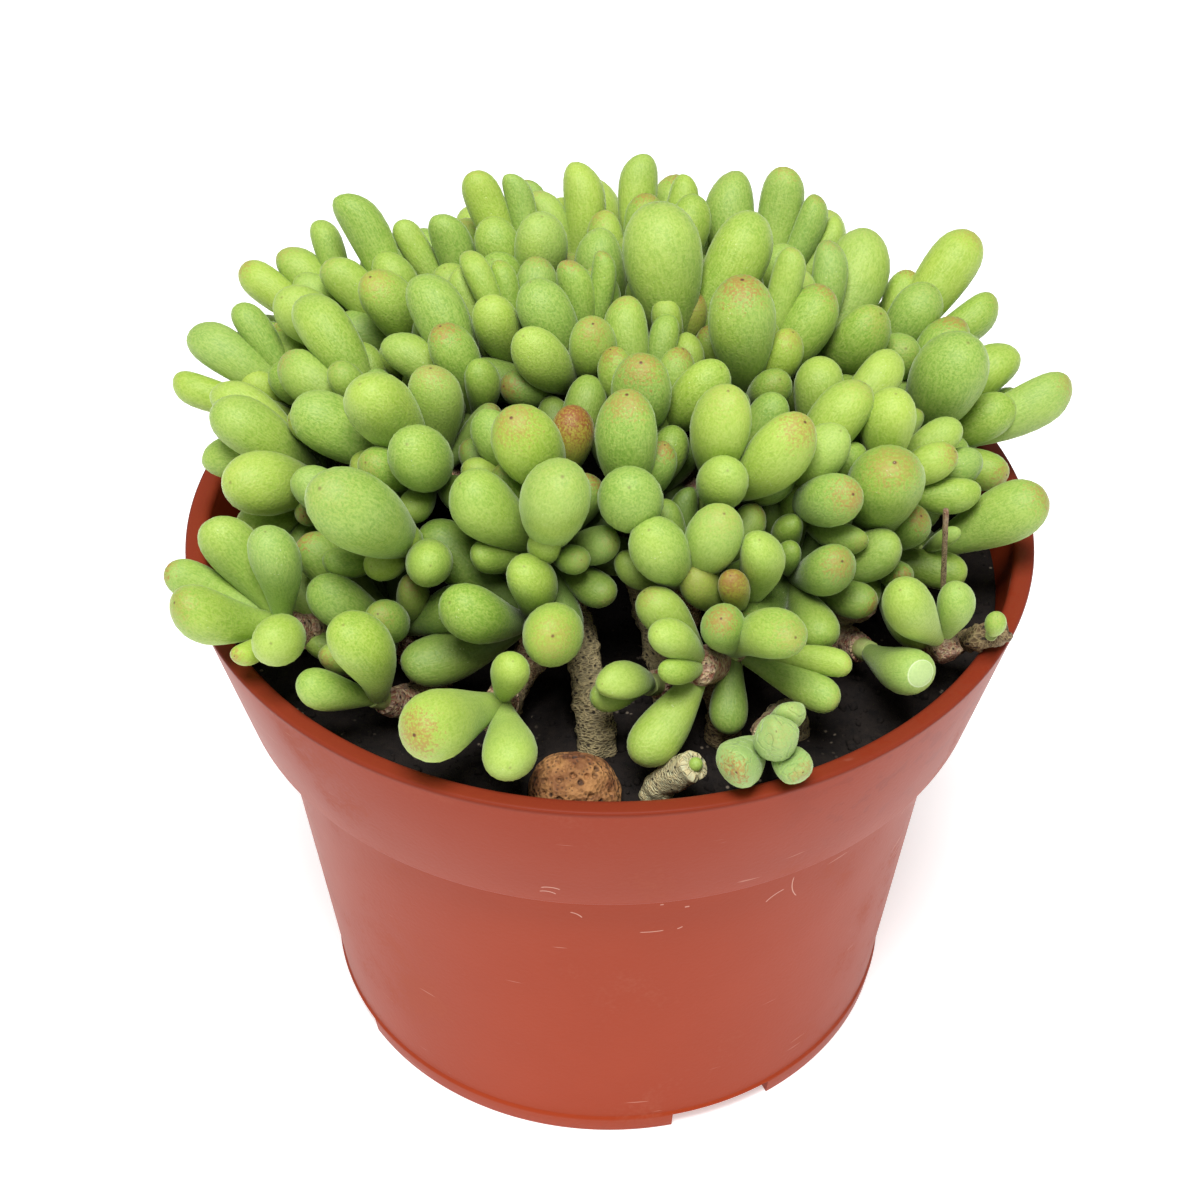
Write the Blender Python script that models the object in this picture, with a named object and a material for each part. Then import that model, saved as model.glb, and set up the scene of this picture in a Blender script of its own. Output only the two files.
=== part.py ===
# Potted dragon egg succulent: a low plastic nursery pot filled with dark soil, a pitted
# pebble, knobby brown stems standing in the soil and leafy shoots of plump egg-shaped
# leaves that form one wide dome. Metres, +Z up, the pot stands on z = 0.
import math

import bmesh
import bpy
import numpy as np
from mathutils import Matrix, Vector

# Pot
POT_RIM_RADIUS = 0.0700
POT_HEIGHT = 0.0983
COLLAR_BOTTOM_RADIUS = 0.0634
COLLAR_DEPTH = 0.0266
COLLAR_STEP = 0.0046
FOOT_RADIUS = 0.0507
FOOT_HEIGHT = 0.0036
FOOT_LIP = 0.0005
LIP_WIDTH = 0.0034
LIP_DEPTH = 0.0060
WALL = 0.0021
FLOOR_THICKNESS = 0.0018
RIM_ROUND = 0.0005
SHARP_EDGE = math.radians(50)
POT_SIDES = 40
NOTCH_COUNT = 4
NOTCH_WIDTH = 0.0186
NOTCH_DEPTH = 0.014
NOTCH_TURN = math.radians(-66.9)
DRAIN_COUNT = 8
DRAIN_RADIUS = 0.0032
DRAIN_CIRCLE = 0.034

# Soil and pebble
TOUCH_GAP = 0.0003
WELD_DISTANCE = 3e-7
SOIL_TOP = 0.0880
HOLE_DEPTH = 0.012
HOLE_SIDES = 8
PEBBLE_AT = (-0.0056, -0.0566)
PEBBLE_HALF = (0.0072, 0.0058, 0.0082)

# Leaves: half width along the leaf as shares of the fattest half width
LEAF_STATIONS = (0.065, 0.727)
LEAF_SHARES = (0.40, 1.00, 0.74)
LEAF_SIDES = 6
SMALL_LEAF_SIDES = 5
SMALL_LEAF = 0.0043
LEAF_SHOULDER = (0.60, 0.169)
LEAF_POINT = (1.10, 0.312)
REACH_PER_HALF_WIDTH = 3.55
REACH_LIMITS = (0.0110, 0.0215)
BEAD_STATIONS = (0.42, 0.62, 0.82, 1.0, 1.12)
BEAD_SHARES = (0.74, 0.92, 1.0, 0.95, 0.84)
LEAF_CLEARANCE = 0.0007

# Stems and necks
WOOD_FOOT = 0.0032
WOOD_TIP = 0.0026
RIM_STEM_RADIUS = 0.0018
RIM_STEM_SPUR = 0.0046
FOOT_COLLAR = 0.0012
WOOD_TAPER = 0.95
SHORT_BRANCH = 0.0085
STEM_SIDES = 5
FOOT_SIDES = 8
NECK_LENGTH = 0.0052
NECK_RADIUS = 0.0023
BUD_NECK = 0.0007
BUD_REACH = (-0.0003, 0.0009, 0.0045)
BUD_SHARE = 0.87
NECK_END = 0.0012
FORK_LENGTH = 0.0045
FORK_START = 0.0038

# The dome of fat leaf ends, and how far the growing tips lie below it
DOME_CENTRE = (0.0, 0.005, 0.088)
DOME_RADII = (0.076, 0.067, 0.054)
TIP_DEPTH = 0.0175
SEED = 11

# The view that the marks below were read in: pixels of a 1200 x 1187 frame
VIEW_CENTRE = (600.0, 593.5)
VIEW_FOCAL = 2404.9
VIEW_FROM = (-0.0016, -0.3145, 0.3449)
VIEW_TILT = math.radians(40.0)

# Each shoot: the place of its growing tip (x, y, height in metres) or None where the tip
# is hidden and lies under the middle of its leaves, and its leaves as x, y, half width
SHOOT_MARKS = {
    "left_fan": (
        (282, 622, 0.103),
        [(226, 541, 28), (273, 551, 28), (185, 578, 20), (196, 612, 29), (277, 641, 27), (244, 655, 13)],
    ),
    "left_low": ((378, 698, 0.097), [(357, 640, 32), (315, 688, 21)]),
    "left_inner": (
        (396, 628, 0.099),
        [(332, 598, 27), (350, 573, 21), (322, 556, 26), (413, 592, 18), (385, 620, 22)],
    ),
    "front_left": (
        (528, 622, 0.104),
        [(467, 611, 30), (430, 663, 28), (535, 567, 28), (553, 635, 33), (432, 547, 30)],
    ),
    "front_low": ((500, 703, 0.100), [(511, 669, 20), (430, 728, 36), (510, 757, 28)]),
    "front_mid": (None, [(477, 500, 33), (553, 501, 40), (575, 560, 17)]),
    "twin": ((652, 685, 0.099), [(615, 683, 21), (606, 695, 17)]),
    "scarred": (
        (704, 665, 0.104),
        [(672, 633, 22), (668, 605, 25), (672, 664, 15), (655, 745, 28)],
    ),
    "right_spray": (
        (735, 652, 0.103),
        [(716, 626, 25), (750, 723, 21), (818, 688, 20), (835, 662, 16), (790, 614, 29)],
    ),
    "small_orange": ((738, 612, 0.106), [(745, 597, 17), (701, 586, 24), (762, 571, 26)]),
    "rim_shoot": (
        (767, 740, 0.098),
        [(788, 716, 17), (740, 767, 25), (787, 760, 23), (789, 786, 20)],
    ),
    "centre_front": (
        (690, 582, 0.110),
        [(682, 502, 17), (748, 520, 21), (722, 526, 20), (632, 568, 19)],
    ),
    "right_mid": ((790, 575, 0.106), [(789, 553, 13), (771, 513, 14), (832, 568, 26)]),
    "right_low": ((866, 650, 0.0970), [(915, 662, 27)]),
    "right_rim": ((941, 640, 0.1005), [(903, 613, 29), (957, 600, 20)]),
    "rim_bud": ((990, 634, 0.1068), [(990, 611, 12)]),
    "right_front": ((872, 552, 0.103), [(912, 523, 22), (885, 480, 42)]),
    "right_arm": ((922, 553, 0.101), [(1015, 505, 32), (950, 535, 9)]),
    "right_upper": (None, [(936, 460, 21), (960, 465, 22), (962, 495, 20), (945, 438, 20)]),
    "right_shelf": (None, [(953, 368, 38), (994, 368, 26), (1045, 397, 26), (1003, 407, 22)]),
    "right_back": (None, [(956, 256, 28), (980, 314, 20), (904, 287, 18), (919, 307, 25)]),
    "right_top": (None, [(864, 333, 29), (858, 266, 36), (832, 262, 20)]),
    "right_slope": (None, [(884, 372, 22), (884, 419, 20), (823, 385, 27)]),
    "right_centre": (None, [(842, 403, 30), (842, 497, 29)]),
    "centre_right": (None, [(783, 447, 34), (770, 412, 22), (724, 478, 28), (720, 424, 33)]),
    "centre": (None, [(630, 497, 34), (627, 423, 34), (677, 447, 22)]),
    "centre_left": (None, [(525, 441, 37), (474, 459, 21), (573, 428, 23), (587, 399, 22)]),
    "mid_centre": (None, [(626, 322, 25), (641, 388, 33), (705, 388, 29), (664, 330, 16)]),
    "mid_right": (None, [(742, 311, 34), (809, 311, 30), (773, 388, 22), (796, 270, 18)]),
    "top_centre": (
        None,
        [(662, 243, 42), (743, 246, 34), (691, 309, 18), (641, 293, 20), (721, 296, 15)],
    ),
    "top_right": (
        None,
        [(738, 201, 29), (783, 198, 24), (812, 213, 17), (830, 233, 16), (793, 247, 22)],
    ),
    "top_mid": (
        None,
        [(640, 179, 22), (686, 194, 17), (685, 218, 24), (603, 232, 22), (645, 215, 22)],
    ),
    "upper_mid": (
        None,
        [(598, 292, 25), (582, 280, 20), (537, 351, 28), (540, 308, 29), (600, 268, 14)],
    ),
    "top_left_mid": (None, [(568, 218, 24), (552, 205, 18), (533, 191, 14), (577, 194, 24)]),
    "top_left": (
        None,
        [(510, 224, 26), (503, 240, 24), (487, 192, 21), (508, 190, 16), (522, 250, 20)],
    ),
    "upper_left_mid": (
        None,
        [(533, 281, 25), (508, 275, 14), (493, 319, 25), (468, 290, 23), (472, 266, 15)],
    ),
    "mid_left": (None, [(437, 302, 31), (408, 350, 24), (482, 378, 19)]),
    "upper_left_back": (None, [(437, 267, 23), (447, 236, 22), (406, 238, 16)]),
    "upper_left": (None, [(385, 295, 27), (393, 270, 24), (343, 277, 23), (363, 216, 24)]),
    "left_mid": (None, [(318, 320, 28), (303, 374, 27), (366, 358, 16)]),
    "left_back": (None, [(298, 266, 23), (262, 277, 20), (322, 240, 17)]),
    "left_edge": (None, [(284, 340, 20), (252, 319, 18), (212, 343, 23), (190, 388, 17)]),
    "left_rim": (None, [(237, 402, 25), (240, 420, 31), (257, 483, 35)]),
    "left_centre": (None, [(322, 420, 31), (378, 403, 36), (432, 391, 30), (419, 453, 34)]),
    "left_lower": (None, [(372, 506, 42), (312, 487, 24), (385, 562, 20)]),
}

# Where each woody stem leaves the soil (x, y in metres) and the shoots that it carries;
# a stem with no names carries the dome shoots that are nearest to it
STEM_FEET = {
    "stem_left": ((-0.040, -0.026), ("left_fan", "left_rim")),
    "stem_front_left": ((-0.027, -0.036), ("left_low", "left_inner")),
    "stem_front": ((-0.017, -0.040), ("front_low", "front_left")),
    "trunk_front": ((-0.002, -0.045), ("front_mid", "centre_left")),
    "stem_centre": ((0.0095, -0.034), ("twin", "centre_front", "centre")),
    "stem_scarred": ((0.0175, -0.0425), ("right_spray", "small_orange", "scarred")),
    "stem_right_front": ((0.028, -0.0415), ("rim_shoot",)),
    "stem_right_low": ((0.032, -0.020), ("right_low", "right_mid", "right_centre")),
    "stem_right_rim": ((0.0450, -0.0285), ("right_rim", "rim_bud")),
    "stem_right_arm": ((0.036, -0.006), ("right_arm", "right_upper", "right_front")),
    "trunk_left": ((-0.040, 0.004), ()),
    "trunk_middle_left": ((-0.016, -0.014), ()),
    "trunk_middle": ((0.010, -0.012), ()),
    "trunk_right": ((0.032, 0.018), ()),
    "trunk_back_left": ((-0.020, 0.030), ()),
    "trunk_back": ((0.010, 0.034), ()),
}

# Marked shoots whose growing tips lie so close that they are one green fork
FUSED_SHOOTS = (
    ("scarred", "right_spray", "small_orange"),
    ("right_front", "right_upper"),
    ("front_mid", "centre_left"),
)

# Cut ends on the wood: the shoot whose branch they leave, how far along it, the place of
# their end (x, y, height) and their radius
STUB_MARKS = {
    "thick_stub": ("right_low", 0.10, (862, 598, 0.1020), 0.0034),
    "flower_stalk": ("rim_bud", 0.20, (946, 510, 0.1180), 0.0007),
}
# Dried tips that go on through a shoot: the shoot, the place of their end and their radius
DRY_MARKS = {
    "dry_tip_long": ("right_spray", (783, 652, 0.1015), 0.0018),
    "dry_tip_short": ("small_orange", (760, 622, 0.1085), 0.0018),
    "dry_end": ("right_rim", (951, 658, 0.0990), 0.0023),
}
# The stem that lies over the rim, and the sawn stub beside the pebble
RIM_STEM_MARKS = ((953, 645, 0.0955), (966, 641, 0.0977), (978, 638, 0.1006), (1006, 631, 0.1012))
CUT_STUB_FOOT = (0.0072, -0.0560)
CUT_STUB_END = (0.0122, -0.0592, 0.0975)
CUT_STUB_RADIUS = 0.0023

# How the shoots that the marks leave open are grown
BACK_TRIALS = 240
BACK_START = 0.002
BACK_LEAVES = 5
BACK_TILTS = (math.radians(14), math.radians(66))
BACK_HALF_WIDTHS = (0.0036, 0.0052)
SHOOT_SPACING = 0.0095
OPEN_ROOM = 0.0106
MIDDLE_TIP = (0.004, 0.017, 0.122)
LOWEST_TIP = 0.0975
WIDEST_TIP = 0.0535
BACK_REACH = 0.0655
FULL_SHOOT = 5
FILL_TRIALS = 60
FILL_HALF_WIDTHS = (0.0026, 0.0042)
FILL_LEAN = math.radians(80)
GOLDEN_TURN = math.pi * (3.0 - math.sqrt(5.0))
PAIR_DISTANCE = 0.026
TIP_SPACING = 0.0105
SPREAD_TURNS = 40
RELAX_TURNS = 240
RELAX_EASE = 60
ROUTE_POINTS = 9
ROUTE_TURNS = 120
BEND_REACH = 0.35
SIDE_SHARES = (0.1, 0.2, 0.3, 0.4, 0.5, 0.6)
ROUND_TO = 5


def unit(v):
    return v / np.linalg.norm(v)


def view_ray(x, y):
    """The direction of a pixel, scaled so that one unit along it is one unit of depth."""
    side = (x - VIEW_CENTRE[0]) / VIEW_FOCAL
    up = (VIEW_CENTRE[1] - y) / VIEW_FOCAL
    c, s = math.cos(VIEW_TILT), math.sin(VIEW_TILT)
    return np.array([side, c + s * up, -s + c * up])


def at_height(mark):
    """The point of a pixel's ray that lies at the given height."""
    x, y, height = mark
    ray = view_ray(x, y)
    return np.array(VIEW_FROM) + ray * ((height - VIEW_FROM[2]) / ray[2])


def on_dome(x, y):
    """Where a pixel's ray meets the dome, or passes nearest to it."""
    origin = np.array(VIEW_FROM)
    ray = view_ray(x, y)
    radii = np.array(DOME_RADII)
    o = (origin - np.array(DOME_CENTRE)) / radii
    d = ray / radii
    a, b, c = d @ d, o @ d, o @ o - 1.0
    inside = b * b - a * c
    depth = (-b - math.sqrt(inside)) / a if inside > 0 else -b / a
    return origin + ray * depth, depth


def dome_normal(p):
    return unit((p - np.array(DOME_CENTRE)) / np.array(DOME_RADII) ** 2)


def leaf_reach(half_width):
    """The distance from the growing tip to the middle of a leaf's fat end."""
    return float(np.clip(REACH_PER_HALF_WIDTH * half_width, *REACH_LIMITS))


def place_on_ray(tip, x, y, half_pixels, depth, from_above):
    """Slide a leaf's fat end along its pixel's ray until the leaf has its natural length."""
    origin = np.array(VIEW_FROM)
    ray = view_ray(x, y)
    reach = leaf_reach(half_pixels * depth / VIEW_FOCAL)
    o = origin - tip
    a, b, c = ray @ ray, o @ ray, o @ o - reach ** 2
    inside = b * b - a * c
    if inside > 0:
        near = (-b - math.sqrt(inside)) / a
        far = (-b + math.sqrt(inside)) / a
        depth = near if from_above or abs(near - depth) <= abs(far - depth) else far
    else:
        depth = -b / a
    return origin + ray * depth, half_pixels * depth / VIEW_FOCAL


class Plant:
    """All growing tips and leaves, as arrays that the relaxation can move."""

    def __init__(self):
        self.names = []
        self.tips = []
        self.owner = []
        self.ends = []
        self.half = []
        self.sight = []
        self.firm = []

    def add_tip(self, name, tip):
        self.names.append(name)
        self.tips.append(tip)
        return len(self.tips) - 1

    def add_leaf(self, owner, end, half, sight=(0.0, 0.0, 0.0), firm=0.2):
        self.owner.append(owner)
        self.ends.append(end)
        self.half.append(half)
        self.sight.append(sight)
        self.firm.append(firm)

    def settle(self):
        self.tips = np.array(self.tips)
        self.owner = np.array(self.owner)
        self.ends = np.array(self.ends)
        self.half = np.array(self.half)
        self.sight = np.array(self.sight)
        self.firm = np.array(self.firm)

    def lean(self, index):
        """The mean direction of a shoot's leaves."""
        ends = self.ends[self.owner == index] - self.tips[index]
        return unit(np.mean(ends / np.linalg.norm(ends, axis=1)[:, None], axis=0))


def spread(tips, hidden):
    """Move hidden growing tips apart until they have room for their necks."""
    for turn in range(SPREAD_TURNS):
        for a in range(len(tips)):
            for b in range(len(tips)):
                apart = tips[a] - tips[b]
                length = np.linalg.norm(apart)
                if a != b and hidden[a] and length < TIP_SPACING:
                    tips[a] = tips[a] + apart / length * (TIP_SPACING - length) * 0.5
    return tips


def grow_marked(plant):
    """The shoots that the marks show, with each leaf's fat end under its mark."""
    tips = []
    for mark, leaves in SHOOT_MARKS.values():
        if mark is None:
            middle = np.mean([on_dome(x, y)[0] for x, y, half in leaves], axis=0)
            tips.append(middle - dome_normal(middle) * TIP_DEPTH)
        else:
            tips.append(at_height(mark))
    tips = spread(tips, [mark is None for mark, leaves in SHOOT_MARKS.values()])
    for tip, (name, (mark, leaves)) in zip(tips, SHOOT_MARKS.items()):
        index = plant.add_tip(name, tip)
        for x, y, half in leaves:
            depth = on_dome(x, y)[1]
            end, half_width = place_on_ray(tip, x, y, half, depth, mark is not None)
            plant.add_leaf(index, end, half_width, unit(view_ray(x, y)), 1.0)


def back_shoot(plant, rng, tip, normal, phase):
    """A shoot whose leaves turn round its axis by the golden angle and lean out more and more."""
    index = plant.add_tip("back_%02d" % (1 + sum(n.startswith("back") for n in plant.names)), tip)
    side = unit(np.cross(normal, (0.3, 0.1, 1.0)))
    other_side = np.cross(normal, side)
    for k in range(BACK_LEAVES):
        tilt = BACK_TILTS[0] + (BACK_TILTS[1] - BACK_TILTS[0]) * k / (BACK_LEAVES - 1)
        turn = k * GOLDEN_TURN + phase
        around = side * math.cos(turn) + other_side * math.sin(turn)
        way = normal * math.cos(tilt) + around * math.sin(tilt)
        half = rng.uniform(*BACK_HALF_WIDTHS)
        end = tip + way * leaf_reach(half)
        if math.hypot(end[0], end[1]) > BACK_REACH:
            end = tip + unit(way + np.array([0.0, 0.0, 1.0])) * leaf_reach(half)
        plant.add_leaf(index, end, half)


def grow_back(plant, rng):
    """Shoots on the side of the dome that the marks leave open, evenly spread."""
    middle = np.array(MIDDLE_TIP)
    back_shoot(plant, rng, middle, dome_normal(middle), 0)
    for i in range(BACK_TRIALS):
        height = 1.0 - 1.02 * (i + 0.5) / BACK_TRIALS
        ring = math.sqrt(max(0.0, 1.0 - height * height))
        turn = i * GOLDEN_TURN
        direction = np.array([ring * math.cos(turn), ring * math.sin(turn), height])
        point = np.array(DOME_CENTRE) + direction * np.array(DOME_RADII)
        normal = dome_normal(point)
        tip = point - normal * TIP_DEPTH
        tip[2] = max(tip[2], LOWEST_TIP)
        if point[1] < BACK_START or math.hypot(tip[0], tip[1]) > WIDEST_TIP:
            continue
        if min(np.linalg.norm(tip - other) for other in plant.tips) < SHOOT_SPACING:
            continue
        if min(np.linalg.norm(point - end) for end in plant.ends) < OPEN_ROOM:
            continue
        back_shoot(plant, rng, tip, normal, i)


def beads_of(tips, ends, half):
    """Round beads along each leaf, which stand for it while the leaves are eased apart."""
    along = np.array(BEAD_STATIONS)
    shares = np.array(BEAD_SHARES)
    places = tips[:, None, :] + (ends - tips)[:, None, :] * along[None, :, None]
    return places.reshape(-1, 3), (half[:, None] * shares[None, :]).reshape(-1)


def fill_shoots(plant, rng):
    """Inner leaves for thin shoots, each in the freest direction and under the dome."""
    tips, ends, half = list(plant.tips), list(plant.ends), list(plant.half)
    for index, name in enumerate(plant.names):
        if SHOOT_MARKS.get(name, (None,))[0] is not None:
            continue
        here = [k for k, o in enumerate(plant.owner) if o == index]
        lean = unit(np.mean([unit(ends[k] - tips[index]) for k in here], axis=0))
        side = unit(np.cross(lean, (0.3, 0.1, 1.0)))
        other_side = np.cross(lean, side)
        for extra in range(max(0, FULL_SHOOT - len(here))):
            owners = np.array(plant.owner)
            places, radii = beads_of(np.array(tips)[owners], np.array(plant.ends), np.array(plant.half))
            best, best_room = None, 0.0
            for trial in range(FILL_TRIALS):
                tilt = FILL_LEAN * math.sqrt(rng.uniform(0.02, 1.0))
                turn = rng.uniform(0.0, 2.0 * math.pi)
                around = side * math.cos(turn) + other_side * math.sin(turn)
                way = lean * math.cos(tilt) + around * math.sin(tilt)
                width = rng.uniform(*FILL_HALF_WIDTHS)
                end = tips[index] + way * leaf_reach(width)
                sunk = (end - np.array(DOME_CENTRE)) / np.array(DOME_RADII)
                if sunk @ sunk > 0.93 or end[2] < SOIL_TOP + width:
                    continue
                beside = math.hypot(end[0], end[1]) > POT_RIM_RADIUS - LIP_WIDTH - width
                if beside and end[2] < POT_HEIGHT + width:
                    continue
                room = (np.linalg.norm(places - end, axis=1) - radii).min() - width
                if room > best_room:
                    best, best_room = (end, width), room
            if best is None:
                break
            plant.add_leaf(index, best[0], best[1])


def pair_up(plant, carried):
    """Dome shoots share a green fork, two by two, with the nearest of the same trunk."""
    fused = [[plant.names.index(name) for name in names] for names in FUSED_SHOOTS]
    loose = [i for i, name in enumerate(plant.names) if not STEM_FEET[carried[name]][1]]
    near = []
    for a in loose:
        for b in loose:
            apart = np.linalg.norm(plant.tips[a] - plant.tips[b])
            if a < b and apart < PAIR_DISTANCE and carried[plant.names[a]] == carried[plant.names[b]]:
                near.append((round(apart, ROUND_TO), a, b))
    taken, sprigs = {i for group in fused for i in group}, fused
    for apart, a, b in sorted(near):
        if a not in taken and b not in taken:
            taken.update((a, b))
            sprigs.append([a, b])
    sprigs += [[i] for i in range(len(plant.names)) if i not in taken]
    return sorted(sprigs)


def carry(plant):
    """The stem of each shoot: the one that names it, or the nearest trunk of the dome."""
    carried = {}
    for stem, (foot, names) in STEM_FEET.items():
        for name in names:
            carried[name] = stem
    open_stems = [stem for stem, (foot, names) in STEM_FEET.items() if not names]
    for tip, name in zip(plant.tips, plant.names):
        if name not in carried:
            carried[name] = min(open_stems, key=lambda s: math.hypot(*(tip[:2] - np.array(STEM_FEET[s][0]))))
    return carried


def bezier(a, b, c, d, count):
    t = np.linspace(0.0, 1.0, count)[:, None]
    return a * (1 - t) ** 3 + b * 3 * t * (1 - t) ** 2 + c * 3 * t ** 2 * (1 - t) + d * t ** 3


def keep_inside(points, radius):
    """Hold stem points above the soil and clear of the pot's wall."""
    points[:, 2] = np.maximum(points[:, 2], SOIL_TOP + radius + TOUCH_GAP)
    reach = np.hypot(points[:, 0], points[:, 1])
    room = POT_RIM_RADIUS - LIP_WIDTH - radius - 2 * TOUCH_GAP
    low = (reach > room) & (points[:, 2] < POT_HEIGHT + radius + TOUCH_GAP)
    points[low, 0] *= room / reach[low]
    points[low, 1] *= room / reach[low]
    return points


def neck_way(plant, sprig, start):
    """The way that a sprig's green neck leaves the end of its branch."""
    return unit(plant.tips[sprig].mean(axis=0) - start)


def branch_end(plant, sprig, foot):
    """Where a sprig's branch ends, and the way of the green neck from there."""
    middle = plant.tips[sprig].mean(axis=0)
    if plant.names[sprig[0]] == "rim_bud":
        before, end = [at_height(mark) for mark in RIM_STEM_MARKS[-2:]]
        return end, unit(end - before)
    lean = unit(np.mean([plant.lean(i) for i in sprig], axis=0))
    way = unit(lean * 0.75 + unit(middle - foot) * 0.55)
    below = NECK_LENGTH + (FORK_LENGTH if len(sprig) > 1 else 0.0)
    end = keep_inside((middle - way * below)[None, :], WOOD_TIP)[0]
    return end, unit(middle - end)


def bend(start, rise, end, way):
    """A smooth branch from its start, which rises a little, to its end along the neck."""
    span = np.linalg.norm(end - start)
    first = start + unit(rise + unit(end - start)) * BEND_REACH * span
    points = bezier(start, first, end - way * BEND_REACH * span, end, ROUTE_POINTS)
    points[1:-1] = keep_inside(points[1:-1], WOOD_FOOT)
    return points


def rim_route(foot):
    """The stem that lies over the rim: its foot, its marks and the points halfway."""
    corners = np.array([foot] + [at_height(mark) for mark in RIM_STEM_MARKS])
    route = np.repeat(corners, 2, axis=0)[:-1]
    route[1::2] = (corners[:-1] + corners[1:]) / 2
    return route


def lay_routes(plant, sprigs, carried):
    """A main branch for each stem, from its foot, and side branches that leave it."""
    stems = [carried[plant.names[sprig[0]]] for sprig in sprigs]
    routes, roots = [None] * len(sprigs), [None] * len(sprigs)
    for stem, (place, names) in STEM_FEET.items():
        foot = np.array([*place, SOIL_TOP + WOOD_FOOT + TOUCH_GAP])
        mine = [k for k in range(len(sprigs)) if stems[k] == stem]
        ends = {k: branch_end(plant, sprigs[k], foot) for k in mine}
        mine.sort(key=lambda k: -round(np.linalg.norm(ends[k][0] - foot), ROUND_TO))
        main = mine[0]
        if plant.names[sprigs[main][0]] == "rim_bud":
            routes[main] = rim_route(foot)
        else:
            routes[main] = bend(foot, np.array([0.0, 0.0, 1.0]), *ends[main])
        length = np.linalg.norm(ends[main][0] - foot)
        for k in mine[1:]:
            cost = [
                np.linalg.norm(along_route(routes[main], share) - ends[k][0]) + 0.6 * share * length
                for share in SIDE_SHARES
            ]
            share = SIDE_SHARES[int(np.argmin(np.round(cost, ROUND_TO)))]
            start = along_route(routes[main], share)
            routes[k] = bend(start, unit(ends[main][0] - foot), *ends[k])
            roots[k] = (main, share)
    ease_routes(plant, sprigs, routes, roots, stems)
    for k, root in enumerate(roots):
        if root and plant.names[sprigs[root[0]][0]] == "rim_bud":
            roots[k] = (root[0], SIDE_SHARES[0])
            start = along_route(routes[root[0]], SIDE_SHARES[0])
            spur = start + unit(plant.tips[sprigs[k][0]] - start) * RIM_STEM_SPUR
            routes[k] = np.linspace(start, spur, ROUTE_POINTS)
    return routes, roots


def ease_routes(plant, sprigs, routes, roots, stems):
    """Bend branches clear of other stems and of other shoots' necks, and keep them smooth."""
    points = np.array(routes)
    count = len(routes)
    loose = np.array([plant.names[sprig[0]] != "rim_bud" for sprig in sprigs])[:, None, None]
    different = np.array([[a != b for b in stems] for a in stems])
    need = 2 * WOOD_FOOT + 2 * TOUCH_GAP
    necks, neck_of = [], []
    for k, (sprig, route) in enumerate(zip(sprigs, routes)):
        for i in sprig:
            necks += list(np.linspace(route[-1], plant.tips[i], 4)[1:])
            neck_of += [k] * 3
    necks, neck_of = np.array(necks), np.array(neck_of)
    foreign = np.repeat(np.arange(count), ROUTE_POINTS)[:, None] != neck_of[None, :]
    need_neck = WOOD_FOOT + 1.3 * NECK_RADIUS + 2 * TOUCH_GAP
    for turn in range(ROUTE_TURNS):
        flat = points.reshape(-1, 3)
        delta = flat[:, None, :] - flat[None, :, :]
        apart = np.sqrt((delta ** 2).sum(axis=2)) + 1e-9
        lack = np.maximum(need - apart, 0.0)
        lack *= np.repeat(np.repeat(different, ROUTE_POINTS, axis=0), ROUTE_POINTS, axis=1)
        push = (delta / apart[:, :, None] * lack[:, :, None] * 0.3).sum(axis=1)
        delta = flat[:, None, :] - necks[None, :, :]
        apart = np.sqrt((delta ** 2).sum(axis=2)) + 1e-9
        lack = np.maximum(need_neck - apart, 0.0) * foreign
        push += (delta / apart[:, :, None] * lack[:, :, None] * 0.5).sum(axis=1)
        push = push.reshape(count, ROUTE_POINTS, 3)
        push[:, 0] = 0.0
        push[:, -1] = 0.0
        points += push * loose
        points[:, 1:-1] += 0.15 * loose * ((points[:, :-2] + points[:, 2:]) / 2 - points[:, 1:-1])
        for i in np.nonzero(loose[:, 0, 0])[0]:
            points[i, 1:-1] = keep_inside(points[i, 1:-1], WOOD_FOOT)
            if roots[i]:
                points[i, 0] = along_route(points[roots[i][0]], roots[i][1])
    for i in range(count):
        routes[i] = points[i]


def along_route(route, share):
    """A point of a branch, by its share of the branch's length."""
    steps = np.linspace(0.0, 1.0, len(route))
    return np.array([np.interp(share, steps, route[:, k]) for k in range(3)])


def bud_way():
    """The way in which the single leaf leaves the upper side of the rim stem."""
    return unit(np.array(VIEW_FROM) - at_height(RIM_STEM_MARKS[-1]))


def seat_bud(plant, sprigs, routes):
    """Set the single leaf of the rim stem on the upper side of that stem."""
    bud = plant.names.index("rim_bud")
    route = next(route for sprig, route in zip(sprigs, routes) if bud in sprig)
    rise = RIM_STEM_RADIUS * math.cos(math.pi / STEM_SIDES) + TOUCH_GAP + BUD_NECK
    place = along_route(route, BUD_SHARE) + bud_way() * rise
    plant.tips[bud] = place
    plant.ends[plant.owner == bud] = place + np.array(BUD_REACH)


def stub_ends(plant, sprigs, routes):
    """Each cut or dried end: its stem's sprig, its two ends and its radius."""
    stubs = {}
    for name, (shoot, share, mark, radius) in STUB_MARKS.items():
        index = next(k for k, sprig in enumerate(sprigs) if plant.names.index(shoot) in sprig)
        stubs[name] = (index, along_route(routes[index], share), at_height(mark), radius)
    return stubs


def dry_tips(plant):
    """Each dried tip: its shoot, its two ends and its radius."""
    tips = {}
    for name, (shoot, mark, radius) in DRY_MARKS.items():
        index = plant.names.index(shoot)
        tips[name] = (index, plant.tips[index], at_height(mark), radius)
    return tips


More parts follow.
